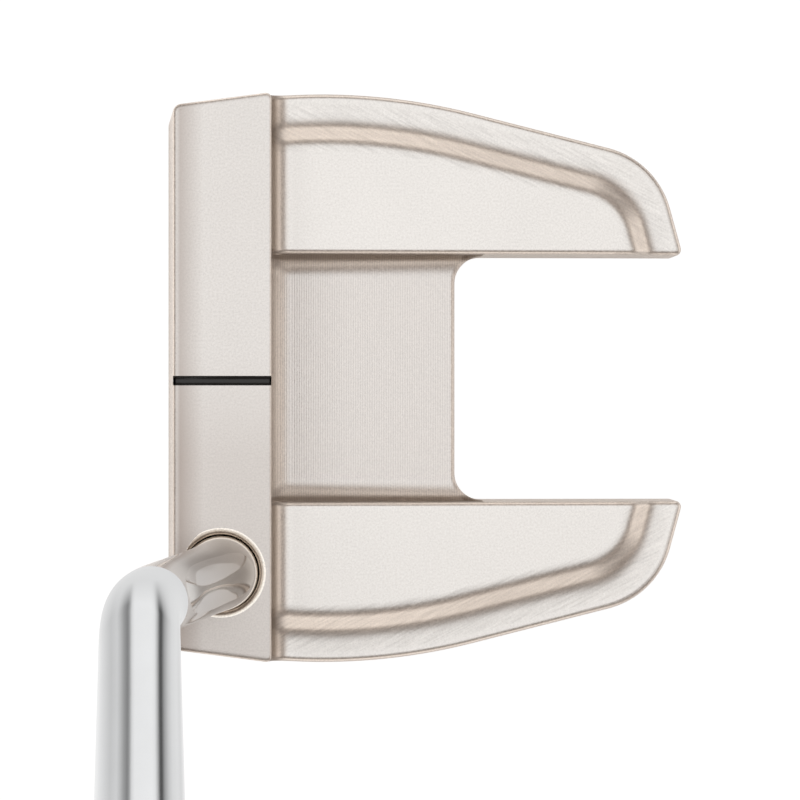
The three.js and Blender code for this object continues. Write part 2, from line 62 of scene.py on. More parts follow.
BAR_TOP = HEAD_HIGH.z
BAR_FRONT = -29.52  # top of the face
BAR_REAR = -14.7
BAR_FRONT_HALF = 41.0
BAR_REAR_HALF = 43.0
BAR_END_EDGE = 0.85  # width of the rounding at the toe and the heel
BAR_FRONT_EDGE = 0.8
BAR_REAR_EDGE = 0.34
BAR_EDGE_DROP = 0.42  # height of the rounding all round the top
BAR_FRONT_CORNER = 1.4
BAR_REAR_CORNER = 0.8
SMALLEST_CORNER = 0.12
CROWN_REACH = 4.2  # the bar's top falls away gently over this distance from the face
CROWN_FALL = 0.3
LOFT = math.radians(2.5)

DECK_Z = 11.0
WALL_Y = 19.24
WALL_DRAFT = math.tan(math.radians(0.6))
HALF_WIDTH = HEAD_HIGH.y
SHOULDER_X = -6.0
SHOULDER_R = 95.0
SIDE_TAPER = math.radians(14)
CORNER_R = 13.5
TIP_X = 50.25
TIP_FLARE = math.radians(15.4)
TIP_R = 1.0
WING_FILLET = 3.6

# A wing's deck stands over a lower flange that runs round its outside.  The step between them is hollow
# at its foot and rounded at its top: slope in degrees at each distance in from the outer outline.
STEP_SLOPES = (
    (0.0, 0.8), (1.6, 1.0), (3.0, 4.0), (3.8, 9.5), (4.8, 23.0), (5.4, 36.0),
    (5.9, 42.0), (6.6, 42.0), (7.0, 37.5), (7.7, 24.0), (8.4, 8.5), (9.1, 0.0),
)
STEP_TOP = STEP_SLOPES[-1][0]
CORNER_SOFTENING = 3.2  # the step turns the corner at the tip more gently than the outline does
TIP_EDGE = 0.95  # the outer edge is rounded this far in at the tip
FLANGE_START = 1.6  # the step's milled finish starts this far in from the outer outline
STEP_DEPTH = 3.2  # the step lies within this depth below the deck

WEB_Z = 5.5
WEB_REAR = 14.4
WEB_BAR_FILLET = 3.8
WEB_WALL_FILLET = 2.95
WEB_WALL_SLOPE = math.radians(75)
WEB_BANK = 0.68  # width of the steep bank under the inner wall's edge
SLOT_CORNER = 4.2

BORE_X, BORE_Y = -22.3, -29.4
BORE_R = 5.7
BORE_FLOOR = 3.0
BORE_ROUND = 1.05  # width of the rounding at the bore's mouth
BORE_DROP = 0.65  # and its height

SIGHT_Y = -0.5
SIGHT_WIDTH = 1.45
SIGHT_DEPTH = 0.9
PAINT_DISH = 0.27  # the paint sinks this far along its middle

WEIGHT_X, WEIGHT_Y = 2.0, 31.0
WEIGHT_HEAD_R = 6.5
WEIGHT_HEAD_HEIGHT = 2.2
WEIGHT_THREAD_R = 5.2
WEIGHT_DEPTH = 8.2
WEIGHT_GAP = 0.3
WEIGHT_RECESS = 0.35
THREAD_DEPTH = 0.45
THREAD_PITCH = 0.8
SOCKET_RADIUS = 2.3
SEAL_RADIUS = 5.78
SEAL_HALF_WIDTH = 0.32
SEAL_HEIGHT = 0.5

# Round-ended pockets in the sole: from one end's centre to the other's, radius, depth.
RELIEF_POCKETS = (
    ((-22.3, 8.0), (-22.3, 36.0), 4.7, 18.0),
    ((-22.3, -6.0), (-22.3, -17.0), 4.7, 18.0),
    ((18.5, 29.8), (37.5, 27.6), 6.3, 7.0),
    ((18.5, -29.8), (37.5, -27.6), 6.3, 7.0),
)

TIP_RADIUS = 5.15
COLLAR_RADIUS = 5.62  # the tube swells where it enters the bore
BEND_RADIUS = 5.5
BUTT_RADIUS = 7.5
TUBE_WALL = 0.8
LIE = math.radians(70)
LEAN = math.radians(1.5)
BEND_TOP = Vector((-33.15, -36.6, 76.0))
LOWER_KNEE = Vector((-29.3, -31.4, 42.5))
BELOW_KNEE = Vector((-26.6, -30.7, 37.2))
ABOVE_KNEE = Vector((-33.4, -32.5, 50.5))
CLUB_LENGTH = 864.0
STEP_COUNT = 8  # the tube widens in small steps towards the butt
STEP_PITCH = 44.0
FIRST_STEP = 190.0
STEP_RAMP = 1.2
TUBE_SIDES = 96

GRIP_LENGTH = 267.0
GRIP_GAP = 0.15
TAPE_THICKNESS = 0.4
CAP_THICKNESS = 4.0
CAP_GAP = 0.3
CAP_ROUND = 2.4
VENT_R = 1.2
GRIP_SIDES = 240
CAP_SIDES = 192

SHAFT_DIRECTION = Vector((math.tan(LEAN), -1 / math.tan(LIE), 1)).normalized()
UPPER_LENGTH = CLUB_LENGTH - BEND_TOP.z / SHAFT_DIRECTION.z - CAP_THICKNESS


# ---- mesh helpers

def lerp(a, b, t):
    return a + (b - a) * t


def smoothstep(low, high, x):
    t = min(max((x - low) / (high - low), 0.0), 1.0)
    return t * t * (3 - 2 * t)


def steps(count):
    return [(i + 1) / count for i in range(count)]


def evenly(count):
    return [0.0] + steps(count)


def circle(radius, sides):
    """(x, y) around a circle."""
    angles = [2 * math.pi * i / sides for i in range(sides)]
    return [(radius * math.cos(angle), radius * math.sin(angle)) for angle in angles]


def quarter(fractions):
    """(cosine, sine) at fractions of a quarter turn."""
    return [(math.cos(t * math.pi / 2), math.sin(t * math.pi / 2)) for t in fractions]


def put(name, data):
    """A new object in the scene."""
    obj = bpy.data.objects.new(name, data)
    bpy.context.scene.collection.objects.link(obj)
    return obj


def solid_object(name, points, faces):
    """A closed mesh object from points in millimetres, with doubled points merged and faces outwards."""
    mesh = bpy.data.meshes.new(name)
    work = bmesh.new()
    verts = [work.verts.new(Vector(p) * MM) for p in points]
    for face in faces:
        if len(set(face)) == len(face):
            try:
                work.faces.new([verts[i] for i in face])
            except ValueError:
                continue
    bmesh.ops.remove_doubles(work, verts=work.verts, dist=2e-7)
    bmesh.ops.dissolve_degenerate(work, edges=work.edges, dist=1e-8)
    bmesh.ops.recalc_face_normals(work, faces=work.faces)
    work.to_mesh(mesh)
    work.free()
    return put(name, mesh)


def combine(target, other, operation):
    """Joins other to target, or cuts it away, and removes other."""
    modifier = target.modifiers.new("combine", "BOOLEAN")
    modifier.operation = operation
    modifier.solver = "MANIFOLD"
    modifier.object = other
    bpy.context.view_layer.update()
    evaluated = target.evaluated_get(bpy.context.evaluated_depsgraph_get())
    mesh = bpy.data.meshes.new_from_object(evaluated)
    target.modifiers.clear()
    old = target.data
    target.data = mesh
    bpy.data.meshes.remove(old)
    bpy.data.objects.remove(other)
    return target


def shade(obj, sharp_angle=32):
    """Smooth shading that keeps flat faces flat and edges sharper than the angle crisp."""
    mesh = obj.data
    mesh.shade_smooth()
    work = bmesh.new()
    work.from_mesh(mesh)
    limit = math.radians(sharp_angle)
    for edge in work.edges:
        edge.smooth = len(edge.link_faces) == 2 and edge.calc_face_angle(0) < limit
    work.to_mesh(mesh)
    work.free()
    modifier = obj.modifiers.new("weighted normals", "WEIGHTED_NORMAL")
    modifier.keep_sharp = True
    modifier.weight = 90
    return obj


def band(first, second):
    """Faces between two closed loops of point indices."""
    count = len(first)
    pairs = [(i, (i + 1) % count) for i in range(count)]
    return [(first[i], first[j], second[j], second[i]) for i, j in pairs]


def loft(name, loops, ring=False):
    """A solid through loops of equal length, closed by flat faces at both ends or joined into a ring."""
    if ring:
        loops = [*loops, loops[0]]
    count = len(loops[0])
    points = [p for loop in loops for p in loop]
    faces = []
    for start in range(0, len(points) - count, count):
        faces += band(range(start, start + count), range(start + count, start + 2 * count))
    if not ring:
        faces.append(tuple(range(count)))
        faces.append(tuple(len(points) - 1 - i for i in range(count)))
    return solid_object(name, points, faces)


def turned(name, profile, centre, sides=96):
    """A solid of revolution about a vertical line, from (radius, z) pairs that form a closed section."""
    points = []
    faces = []
    count = len(profile)
    for x, y in circle(1, sides):
        points += [(centre[0] + radius * x, centre[1] + radius * y, z) for radius, z in profile]
    for s in range(sides):
        base = s * count
        after = ((s + 1) % sides) * count
        for i in range(count):
            j = (i + 1) % count
            if profile[i][0] or profile[j][0]:
                faces.append((base + i, after + i, after + j, base + j))
    return solid_object(name, points, faces_without_axis(points, faces))


def faces_without_axis(points, faces):
    """Faces with repeated places reduced to triangles."""
    kept = []
    for face in faces:
        corners = []
        for i in face:
            if not any((Vector(points[i]) - Vector(points[j])).length < 1e-6 for j in corners):
                corners.append(i)
        if len(corners) >= 3:
            kept.append(tuple(corners))
    return kept


# ---- head outlines

def meet(n1, k1, n2, k2):
    """Where two lines n.p = k meet."""
    det = n1[0] * n2[1] - n1[1] * n2[0]
    return (k1 * n2[1] - k2 * n1[1]) / det, (n1[0] * k2 - n2[0] * k1) / det


def around(centre, radius, angle):
    """(x, y, nx, ny) on a circle, with the outward direction."""
    nx, ny = math.cos(angle), math.sin(angle)
    return centre[0] + radius * nx, centre[1] + radius * ny, nx, ny


SIDE_NORMAL = (math.sin(SIDE_TAPER), math.cos(SIDE_TAPER))
TIP_NORMAL = (math.cos(TIP_FLARE), math.sin(TIP_FLARE))
SHOULDER_Y = HALF_WIDTH - SHOULDER_R
SIDE_REACH = SIDE_NORMAL[0] * SHOULDER_X + SIDE_NORMAL[1] * SHOULDER_Y + SHOULDER_R
TIP_REACH = TIP_NORMAL[0] * TIP_X + TIP_NORMAL[1] * WALL_Y
CORNER = meet(SIDE_NORMAL, SIDE_REACH - CORNER_R, TIP_NORMAL, TIP_REACH - CORNER_R)


def fillet_rise(distance, radius):
    """Height of a concave fillet above its floor, at a distance from the wall that it meets."""
    if distance >= radius:
        return 0.0
    inward = radius - max(distance, 0.0)
    return radius - math.sqrt(radius * radius - inward * inward)


def web_wall_rise(distance):
    """Height of the web where it climbs the inner wall: a hollow foot under a steep straight bank."""
    reach = WEB_BANK + WEB_WALL_FILLET * math.sin(WEB_WALL_SLOPE)
    if distance >= reach:
        return 0.0
    foot_rise = WEB_WALL_FILLET * (1 - math.cos(WEB_WALL_SLOPE))
    if distance <= WEB_BANK:
        return foot_rise + (WEB_BANK - max(distance, 0.0)) * math.tan(WEB_WALL_SLOPE)
    return WEB_WALL_FILLET - math.sqrt(WEB_WALL_FILLET ** 2 - (reach - distance) ** 2)


def fillet_stations(radius, count):
    """Distances from a wall that follow a fillet's arc evenly."""
    return [radius * (1 - cosine) for cosine, _ in quarter(evenly(count))]


STEP_GRID = np.linspace(0, STEP_TOP, 841)
STEP_TANGENT = np.tan(np.radians(np.interp(STEP_GRID, *zip(*STEP_SLOPES))))
STEP_RISES = (STEP_TANGENT[1:] + STEP_TANGENT[:-1]) / 2 * np.diff(STEP_GRID)
STEP_HEIGHT = np.concatenate(([0], np.cumsum(STEP_RISES)))


def step_rise(inset):
    """Height of a wing over its deck, which is negative on the step and the flange."""
    return float(np.interp(inset, STEP_GRID, STEP_HEIGHT) - STEP_HEIGHT[-1])


def edge_fade(inset, x):
    """Extra fall of the outer edge where its rounding widens towards the tip."""
    reach = lerp(EDGE, TIP_EDGE, smoothstep(26, 44, x))
    if inset >= reach:
        return 0.0
    return 0.5 * (reach - inset) ** 2 / max(reach - EDGE + 0.1, 0.1)


def wing_line(inset):
    """One line along a wing, at a distance in from its outline, from the face bar to the inner wall."""
    shoulder_r = SHOULDER_R - inset

    def shoulder_point(x):
        nx = (x - SHOULDER_X) / shoulder_r
        ny = math.sqrt(1 - nx * nx)
        return x, SHOULDER_Y + shoulder_r * ny, nx, ny

    line = [shoulder_point(BAR_REAR - OVERLAP)]
    line += [shoulder_point(BAR_REAR + d) for d in fillet_stations(WING_FILLET, 10)]
    shoulder_start = BAR_REAR + WING_FILLET
    shoulder_end = SHOULDER_X + shoulder_r * SIDE_NORMAL[0]
    line += [shoulder_point(lerp(shoulder_start, shoulder_end, t)) for t in steps(36)]

    corner_r = CORNER_R - inset + CORNER_SOFTENING * smoothstep(1.5, 7.5, inset)
    corner = meet(SIDE_NORMAL, SIDE_REACH - inset - corner_r, TIP_NORMAL, TIP_REACH - inset - corner_r)
    side_angle = math.pi / 2 - SIDE_TAPER
    line += straight(line[-1], around(corner, corner_r, side_angle), 20)
    line += [around(corner, corner_r, lerp(side_angle, TIP_FLARE, t)) for t in steps(36)]

    tip_r = (TIP_R - EDGE) * max(0.0, 1 - (inset - EDGE))
    tip_centre = meet(TIP_NORMAL, TIP_REACH - inset - tip_r, (0, 1), WALL_Y + EDGE + tip_r)
    line += straight(line[-1], around(tip_centre, tip_r, TIP_FLARE), 14)
    line += [around(tip_centre, tip_r, lerp(TIP_FLARE, -math.pi / 2, t)) for t in steps(8)]
    return line


def straight(start, end, count):
    """Points from one outline point to another, all with the second's direction."""
    return [(lerp(start[0], end[0], t), lerp(start[1], end[1], t), end[2], end[3]) for t in steps(count)]


def wall_line(inner):
    """Where the deck meets the inner wall: one point for each point of the innermost line."""
    start = BAR_REAR + WING_FILLET
    first = next(i for i, p in enumerate(inner) if p[0] > start + 1e-6)
    end = inner[-1][0]
    line = []
    for i, p in enumerate(inner):
        x = p[0] if i < first else lerp(start, end, (i - first + 1) / (len(inner) - first))
        line.append((x, WALL_Y + EDGE, 0.0, -1.0))
    return line


def grid_border(rows, columns):
    """Indices around a grid, clockwise from above."""
    border = list(range(columns))
    border += [r * columns + columns - 1 for r in range(1, rows)]
    border += [(rows - 1) * columns + c for c in range(columns - 2, -1, -1)]
    border += [r * columns for r in range(rows - 2, 0, -1)]
    return border


def slab(name, grid, edge, wall_drop):
    """A solid under a grid of (x, y, z, nx, ny).  Its border is rounded along the outward direction."""
    rows, columns = len(grid), len(grid[0])
    flat = [p for row in grid for p in row]
    points = [p[:3] for p in flat]
    faces = []
    for r in range(rows - 1):
        for c in range(columns - 1):
            a = r * columns + c
            faces.append((a, a + columns, a + columns + 1, a + 1))
    border = grid_border(rows, columns)
    levels = []
    for c, s in quarter(steps(6)):
        out, down = edge * s, edge * (1 - c)
        levels.append(lambda p, o=out, d=down: (p[0] + p[3] * o, p[1] + p[4] * o, p[2] - d))
    for c, s in quarter(evenly(4)):
        back, z = SOLE_BREAK * (1 - c), SOLE_BREAK * (1 - s)
        levels.append(lambda p, b=back, z=z: below(p, edge + wall_drop(p) - b, z))
    upper = border
    for level in levels:
        lower = range(len(points), len(points) + len(border))
        points += [level(flat[i]) for i in border]
        faces += band(upper, lower)
        upper = lower
    faces.append(tuple(upper))
    return solid_object(name, points, faces_without_axis(points, faces))


def below(point, reach, z):
    return point[0] + point[3] * reach, point[1] + point[4] * reach, z


# ---- head

def make_wing(side):
    insets = [lerp(EDGE, 1.1, t) for t in evenly(6)] + [FLANGE_START]
    insets += [lerp(2.0, STEP_TOP, t) for t in evenly(44)]
    lines = []
    for inset in insets:
        lines.append([(*p, step_rise(inset) - edge_fade(inset, p[0])) for p in wing_line(inset)])
    lines.append([(*p, 0.0) for p in wall_line([p[:4] for p in lines[-1]])])
    last_row, last_column = len(lines) - 1, len(lines[0]) - 1
    grid = []
    for r, line in enumerate(lines):
        row = []
        for c, (x, y, nx, ny, rise) in enumerate(line):
            z = DECK_Z + rise + fillet_rise(x - BAR_REAR, WING_FILLET)
            if 0 < r < last_row:
                nx, ny = (0.0, -1.0) if c == last_column else (0.0, 0.0)
            row.append((x, y * side, z, nx, ny * side))
        grid.append(row)
    return slab("wing", grid, EDGE, lambda p: DECK_Z * WALL_DRAFT if p[4] * side == -1.0 else 0.0)


def make_web():
    inner_wall = WALL_Y - DECK_Z * WALL_DRAFT
    corner_y = inner_wall - SLOT_CORNER
    corner_x = WEB_REAR + SLOT_CORNER
    half = [(WALL_Y + OVERLAP, corner_x, 0.0, 0.0)]
    for c, s in quarter(reversed(steps(24))):
        half.append((corner_y + SLOT_CORNER * s, corner_x - SLOT_CORNER * c, c, -s))
    half.append((corner_y, WEB_REAR, 1.0, 0.0))
    mirrored = [(-y, x, nx, -ny) for y, x, nx, ny in reversed(half)]
    start = BAR_REAR + WEB_BAR_FILLET
    grid = []
    for y, x, nx, ny in half + mirrored:
        rise = web_wall_rise(WALL_Y - abs(y))
        rear_x, rear_y = x - nx * EDGE, y - ny * EDGE
        row = [(BAR_REAR - OVERLAP, y, 0.0, 0.0)]
        row += [(BAR_REAR + d, y, 0.0, 0.0) for d in fillet_stations(WEB_BAR_FILLET, 14)]
        row += [(lerp(start, rear_x, t), lerp(y, rear_y, t), 0.0, 0.0) for t in (0.3, 0.6, 0.85)]
        row.append((rear_x, rear_y, nx, ny))
        grid.append([(px, py, WEB_Z + rise + fillet_rise(px - BAR_REAR, WEB_BAR_FILLET), a, b)
                     for px, py, a, b in row])
    return slab("web", grid, EDGE, lambda p: 0.0)


def bar_loop(ends, front, rear, z):
    """The bar's outline with rounded corners, drawn in by an amount at its ends, its front and its rear."""
    slope = math.atan2(BAR_REAR_HALF - BAR_FRONT_HALF, BAR_REAR - BAR_FRONT)
    side_normal = (-math.sin(slope), math.cos(slope))
    side_reach = side_normal[0] * BAR_REAR + side_normal[1] * BAR_REAR_HALF - ends
    side = math.pi / 2 + slope

    def corner(wall_x, outward, inset, radius, start, end):
        r = max(radius - inset, SMALLEST_CORNER)
        x = wall_x - outward * (inset + r)
        y = (side_reach - r - side_normal[0] * x) / side_normal[1]
        return [around((x, y), r, lerp(start, end, t))[:2] for t in evenly(10)]

    toe = corner(BAR_FRONT, -1, front, BAR_FRONT_CORNER, math.pi, side)
    toe += corner(BAR_REAR, 1, rear, BAR_REAR_CORNER, side, 0.0)
    loop = toe + [(x, -y) for x, y in reversed(toe)]
    drop = (BAR_TOP - z) * math.tan(LOFT)
    return [(x - (BAR_REAR - x) / (BAR_REAR - BAR_FRONT) * drop, y, z) for x, y in loop]


def crown_fall(distance):
    """How far the bar's top has fallen towards the face, at a distance in from the front edge."""
    return CROWN_FALL * max(0.0, 1 - distance / CROWN_REACH) ** 2


def make_bar():
    loops = []
    for t in evenly(12):
        front = lerp(CROWN_REACH, BAR_FRONT_EDGE, t)
        loops.append(bar_loop(BAR_END_EDGE, front, BAR_REAR_EDGE, BAR_TOP - crown_fall(front)))
    for c, s in quarter(steps(8)):
        share = 1 - s
        z = BAR_TOP - crown_fall(BAR_FRONT_EDGE) - BAR_EDGE_DROP * (1 - c)
        loops.append(bar_loop(BAR_END_EDGE * share, BAR_FRONT_EDGE * share, BAR_REAR_EDGE * share, z))
    for c, s in quarter(evenly(4)):
        inset = SOLE_BREAK * (1 - c)
        loops.append(bar_loop(inset, inset, inset, SOLE_BREAK * (1 - s)))
    return loft("bar", loops)


def bore_cutter():
    mouth_r = BORE_R + BORE_ROUND
    top = BAR_TOP + 1
    profile = [(0, BORE_FLOOR), (BORE_R, BORE_FLOOR)]
    profile += [(mouth_r - BORE_ROUND * c, BAR_TOP - BORE_DROP * (1 - s)) for c, s in quarter(evenly(10))]
    profile += [(mouth_r, top), (0, top)]
    return turned("bore cutter", profile, (BORE_X, BORE_Y), 160)


def sight_section(half_width, top_z, bottom_z):
    """(y, z) around a round-bottomed section."""
    centre_z = bottom_z + half_width
    bottom = [around((0, centre_z), half_width, lerp(math.pi, 2 * math.pi, t))[:2] for t in evenly(14)]
    return [(-half_width, top_z), *bottom, (half_width, top_z)]


def sight_cutter():
    section = sight_section(SIGHT_WIDTH / 2, BAR_TOP + 1, BAR_TOP - SIGHT_DEPTH)
    ends = (BAR_FRONT - 3, BAR_REAR + 3)
    return loft("sight cutter", [[(x, SIGHT_Y + y, z) for y, z in section] for x in ends])


def pocket_cutter(start, end, radius, depth):
    heading = math.atan2(end[1] - start[1], end[0] - start[0])
    outline = [around(end, radius, heading - math.pi / 2 + t * math.pi)[:2] for t in evenly(24)]
    outline += [around(start, radius, heading + math.pi / 2 + t * math.pi)[:2] for t in evenly(24)]
    return loft("pocket cutter", [[(x, y, z) for x, y in outline] for z in (-1.0, depth)])


def weight_cutter(side):
    head_r = WEIGHT_HEAD_R + WEIGHT_GAP
    thread_r = WEIGHT_THREAD_R + WEIGHT_GAP
    ledge = WEIGHT_RECESS + WEIGHT_HEAD_HEIGHT + SEAL_HEIGHT + WEIGHT_GAP
    profile = [(0, -1), (head_r + 0.3, -1), (head_r + 0.3, 0), (head_r, 0.3), (head_r, ledge)]
    profile += [(thread_r, ledge), (thread_r, WEIGHT_DEPTH), (0, WEIGHT_DEPTH)]
    return turned("weight cutter", profile, (WEIGHT_X, side * WEIGHT_Y))


def make_head():
    head = make_bar()
    for part in (make_wing(1), make_wing(-1), make_web()):
        combine(head, part, "UNION")
    cutters = [bore_cutter(), sight_cutter(), weight_cutter(1), weight_cutter(-1)]
    cutters += [pocket_cutter(*pocket) for pocket in RELIEF_POCKETS]
    for cutter in cutters:
        combine(head, cutter, "DIFFERENCE")
    head.name = head.data.name = "milled_head"
    return shade(head)


def outline_distance(x, y):
    """Distance in from a wing's outer outline, for points on the head."""
    y = abs(y)
    from_shoulder = SHOULDER_R - math.hypot(x - SHOULDER_X, y - SHOULDER_Y)
    from_side = SIDE_REACH - SIDE_NORMAL[0] * x - SIDE_NORMAL[1] * y
    from_tip = TIP_REACH - TIP_NORMAL[0] * x - TIP_NORMAL[1] * y
    if x - CORNER[0] > 0 and from_side < CORNER_R and from_tip < CORNER_R:
        across = (x - CORNER[0], y - CORNER[1])
        beyond_side = across[0] * SIDE_NORMAL[1] - across[1] * SIDE_NORMAL[0]
        beyond_tip = across[1] * TIP_NORMAL[0] - across[0] * TIP_NORMAL[1]
        if beyond_side > 0 and beyond_tip > 0:
            return CORNER_R - math.hypot(*across)
    if x < SHOULDER_X + SHOULDER_R * SIDE_NORMAL[0]:
        return from_shoulder
    return min(from_side, from_tip)


def head_region(centre, normal, corners):
    """Which machined surface a face of the head belongs to."""
    x, y, z = centre
    reach = BORE_R + BORE_ROUND + 0.02
    if z > BORE_FLOOR - 0.1 and all(math.hypot(p.x - BORE_X, p.y - BORE_Y) < reach for p in corners):
        return "bore"
    if z < SOLE_BREAK or normal.z < -0.5:
        return "sole"
    if x < BAR_REAR + 0.05:
        return "face" if normal.x < -0.93 and z < BAR_TOP - BAR_EDGE_DROP else "bar"
    if abs(y) < WALL_Y + 0.02 and z < DECK_Z - EDGE - 0.4:
        low = z < WEB_Z + WEB_WALL_FILLET + WEB_BAR_FILLET
        return "web" if low and x < WEB_REAR + SLOT_CORNER else "deck"
    inset = outline_distance(x, y)
    on_step = inset < STEP_TOP or (inset < STEP_TOP + 1.5 and z < DECK_Z - 0.01)
    if on_step and inset > FLANGE_START and z > DECK_Z - STEP_DEPTH:
        return "step"
    return "deck"


def mark_corner_shade(head):
    """Writes how much painted shade each point of the head takes in an inner corner, from 0 to 1."""
    marks = head.data.attributes.new("corner_shade", "FLOAT", "POINT")
    for mark, vertex in zip(marks.data, head.data.vertices):
        x, y, z = vertex.co / MM
        from_bar = x - BAR_REAR
        depth = 0.0
        inside = abs(y) < WALL_Y + 0.05 and WEB_Z - 0.2 < z < DECK_Z - 0.2
        if -0.05 < from_bar and z < BAR_TOP - 0.6:
            depth = (0.45 if inside else 1) * (1 - smoothstep(0.5, 2.3, from_bar))
        if inside and x < WEB_REAR + SLOT_CORNER:
            depth = max(depth, 1 - smoothstep(0.5, 1.15, WALL_Y - abs(y)))
        mark.value = depth


def assign_head_materials(head, materials):
    head.data.materials.clear()
    regions = list(materials)
    for material in materials.values():
        head.data.materials.append(material)
    for polygon in head.data.polygons:
        corners = [head.data.vertices[i].co / MM for i in polygon.vertices]
        region = head_region(polygon.center / MM, polygon.normal, corners)
        polygon.material_index = regions.index(region)


# ---- sight line paint

def make_sight_paint():
    """Paint that fills the groove, dished along its middle and rounded off with the bar's edges."""
    half = SIGHT_WIDTH / 2 - 0.01
    loops = []
    for t in evenly(60):
        x = lerp(BAR_FRONT + 0.06, BAR_REAR - 0.03, t)
        edge_drop = edge_fall(x - BAR_FRONT, BAR_FRONT_EDGE) + edge_fall(BAR_REAR - x, BAR_REAR_EDGE)
        top = BAR_TOP - 0.03 - edge_drop - crown_fall(max(x - BAR_FRONT, BAR_FRONT_EDGE))
        section = sight_section(half, top, BAR_TOP - SIGHT_DEPTH + 0.01)
        dish = [(y, top - PAINT_DISH * (1 - (y / half) ** 2)) for y in np.linspace(half, -half, 13)[1:-1]]
        loops.append([(x, SIGHT_Y + y, z) for y, z in section + dish])
    return shade(loft("sight_line", loops), 50)


def edge_fall(distance, width):
    """How far a rounded edge has dropped, at a distance in from the outer wall."""
    if distance >= width:
        return 0.0
    share = 1 - max(distance, 0.0) / width
    return BAR_EDGE_DROP * (1 - math.sqrt(max(1 - share * share, 0.0)))


# ---- sole weights

def make_weight(side):
    bottom = WEIGHT_RECESS
    ledge = bottom + WEIGHT_HEAD_HEIGHT
    top = WEIGHT_DEPTH - WEIGHT_GAP
    profile = [(0, bottom + 0.25), (3.4, bottom + 0.25), (3.7, bottom), (WEIGHT_HEAD_R - 0.35, bottom)]
    profile += [(WEIGHT_HEAD_R - 0.1, bottom + 0.1), (WEIGHT_HEAD_R, bottom + 0.35), (WEIGHT_HEAD_R, ledge)]
    z = ledge
    root = WEIGHT_THREAD_R - THREAD_DEPTH
    profile.append((root, z))
    while z + THREAD_PITCH < top - 0.5:
        profile += [(root, z + 0.2), (WEIGHT_THREAD_R, z + 0.5), (root, z + THREAD_PITCH)]
        z += THREAD_PITCH
    profile += [(WEIGHT_THREAD_R - 0.5, top - 0.4), (WEIGHT_THREAD_R - 0.9, top), (0, top)]
    name = "toe_weight" if side > 0 else "heel_weight"
    body = turned(name, profile, (WEIGHT_X, side * WEIGHT_Y))
    combine(body, hex_socket(side, bottom), "DIFFERENCE")
    body.name = body.data.name = name
    return shade(body, 25)


def hex_socket(side, bottom):
    corners = [around((WEIGHT_X, side * WEIGHT_Y), SOCKET_RADIUS, math.pi / 3 * i)[:2] for i in range(6)]
    return loft("socket cutter", [[(x, y, z) for x, y in corners] for z in (bottom - 1, bottom + 2.6)])


def make_seal(side):
    middle = WEIGHT_RECESS + WEIGHT_HEAD_HEIGHT + 0.15 + SEAL_HEIGHT / 2
    profile = [(SEAL_RADIUS + SEAL_HALF_WIDTH * x, middle + SEAL_HEIGHT / 2 * y) for x, y in circle(1, 16)]
    name = "toe_seal" if side > 0 else "heel_seal"
    return shade(turned(name, profile, (WEIGHT_X, side * WEIGHT_Y)), 60)


# ---- shaft

def bezier(p0, p1, p2, p3, t):
    s = 1 - t
    return p0 * s ** 3 + p1 * 3 * s * s * t + p2 * 3 * s * t * t + p3 * t ** 3


def upper_radius(distance):
    """Small steps up towards the butt, each with a short ramp."""
    rise = (BUTT_RADIUS - BEND_RADIUS) / STEP_COUNT
    radius = BEND_RADIUS
    for i in range(STEP_COUNT):
        radius += rise * smoothstep(-STEP_RAMP, 0.0, distance - FIRST_STEP - i * STEP_PITCH)
    return radius


def shaft_stations():
    """Points along the shaft's axis with the radius at each."""
    def socket(z):
        return Vector((BORE_X, BORE_Y, z))

    stations = [(socket(BORE_FLOOR + 0.6), TIP_RADIUS), (socket(BAR_TOP - 1.8), TIP_RADIUS)]
    stations += [(socket(BAR_TOP - 1.5), COLLAR_RADIUS), (socket(BAR_TOP - 1), COLLAR_RADIUS)]
    lower = (socket(BAR_TOP - 1), socket(BAR_TOP + 7), BELOW_KNEE, LOWER_KNEE)
    for t in steps(80):
        point = bezier(*lower, t)
        narrowing = smoothstep(BAR_TOP + 0.5, BAR_TOP + 10, point.z)
        stations.append((point, lerp(COLLAR_RADIUS, TIP_RADIUS, narrowing)))
    upper = (LOWER_KNEE, ABOVE_KNEE, BEND_TOP - SHAFT_DIRECTION * 14, BEND_TOP)
    stations += [(bezier(*upper, t), lerp(TIP_RADIUS, BEND_RADIUS, smoothstep(0, 1, t))) for t in steps(60)]
    distances = [60.0, 120.0]
    for i in range(STEP_COUNT):
        step = FIRST_STEP + i * STEP_PITCH
        distances += [step - STEP_RAMP + STEP_RAMP / 6 * k for k in range(7)] + [step + STEP_PITCH / 2]
    distances.append(UPPER_LENGTH)
    stations += [(BEND_TOP + SHAFT_DIRECTION * d, upper_radius(d)) for d in distances if d <= UPPER_LENGTH]
    return stations


def make_shaft():
    """The bent tube: outer skin up, over the butt, and inner skin down, swept without twisting."""
    stations = shaft_stations()
    rings = []
    across = Vector((0, 1, 0))
    for i, (point, radius) in enumerate(stations):
        tangent = (stations[min(i + 1, len(stations) - 1)][0] - stations[max(i - 1, 0)][0]).normalized()
        across = (across - tangent * across.dot(tangent)).normalized()
        other = tangent.cross(across)
        rings.append((point, radius, across, other))
    loops = [ring_loop(*ring, 0.0) for ring in rings]
    loops += [ring_loop(*ring, TUBE_WALL) for ring in reversed(rings)]
    return shade(loft("shaft_tube", loops, ring=True), 40)


def ring_loop(point, radius, across, other, inset):
    return [point + across * x + other * y for x, y in circle(radius - inset, TUBE_SIDES)]


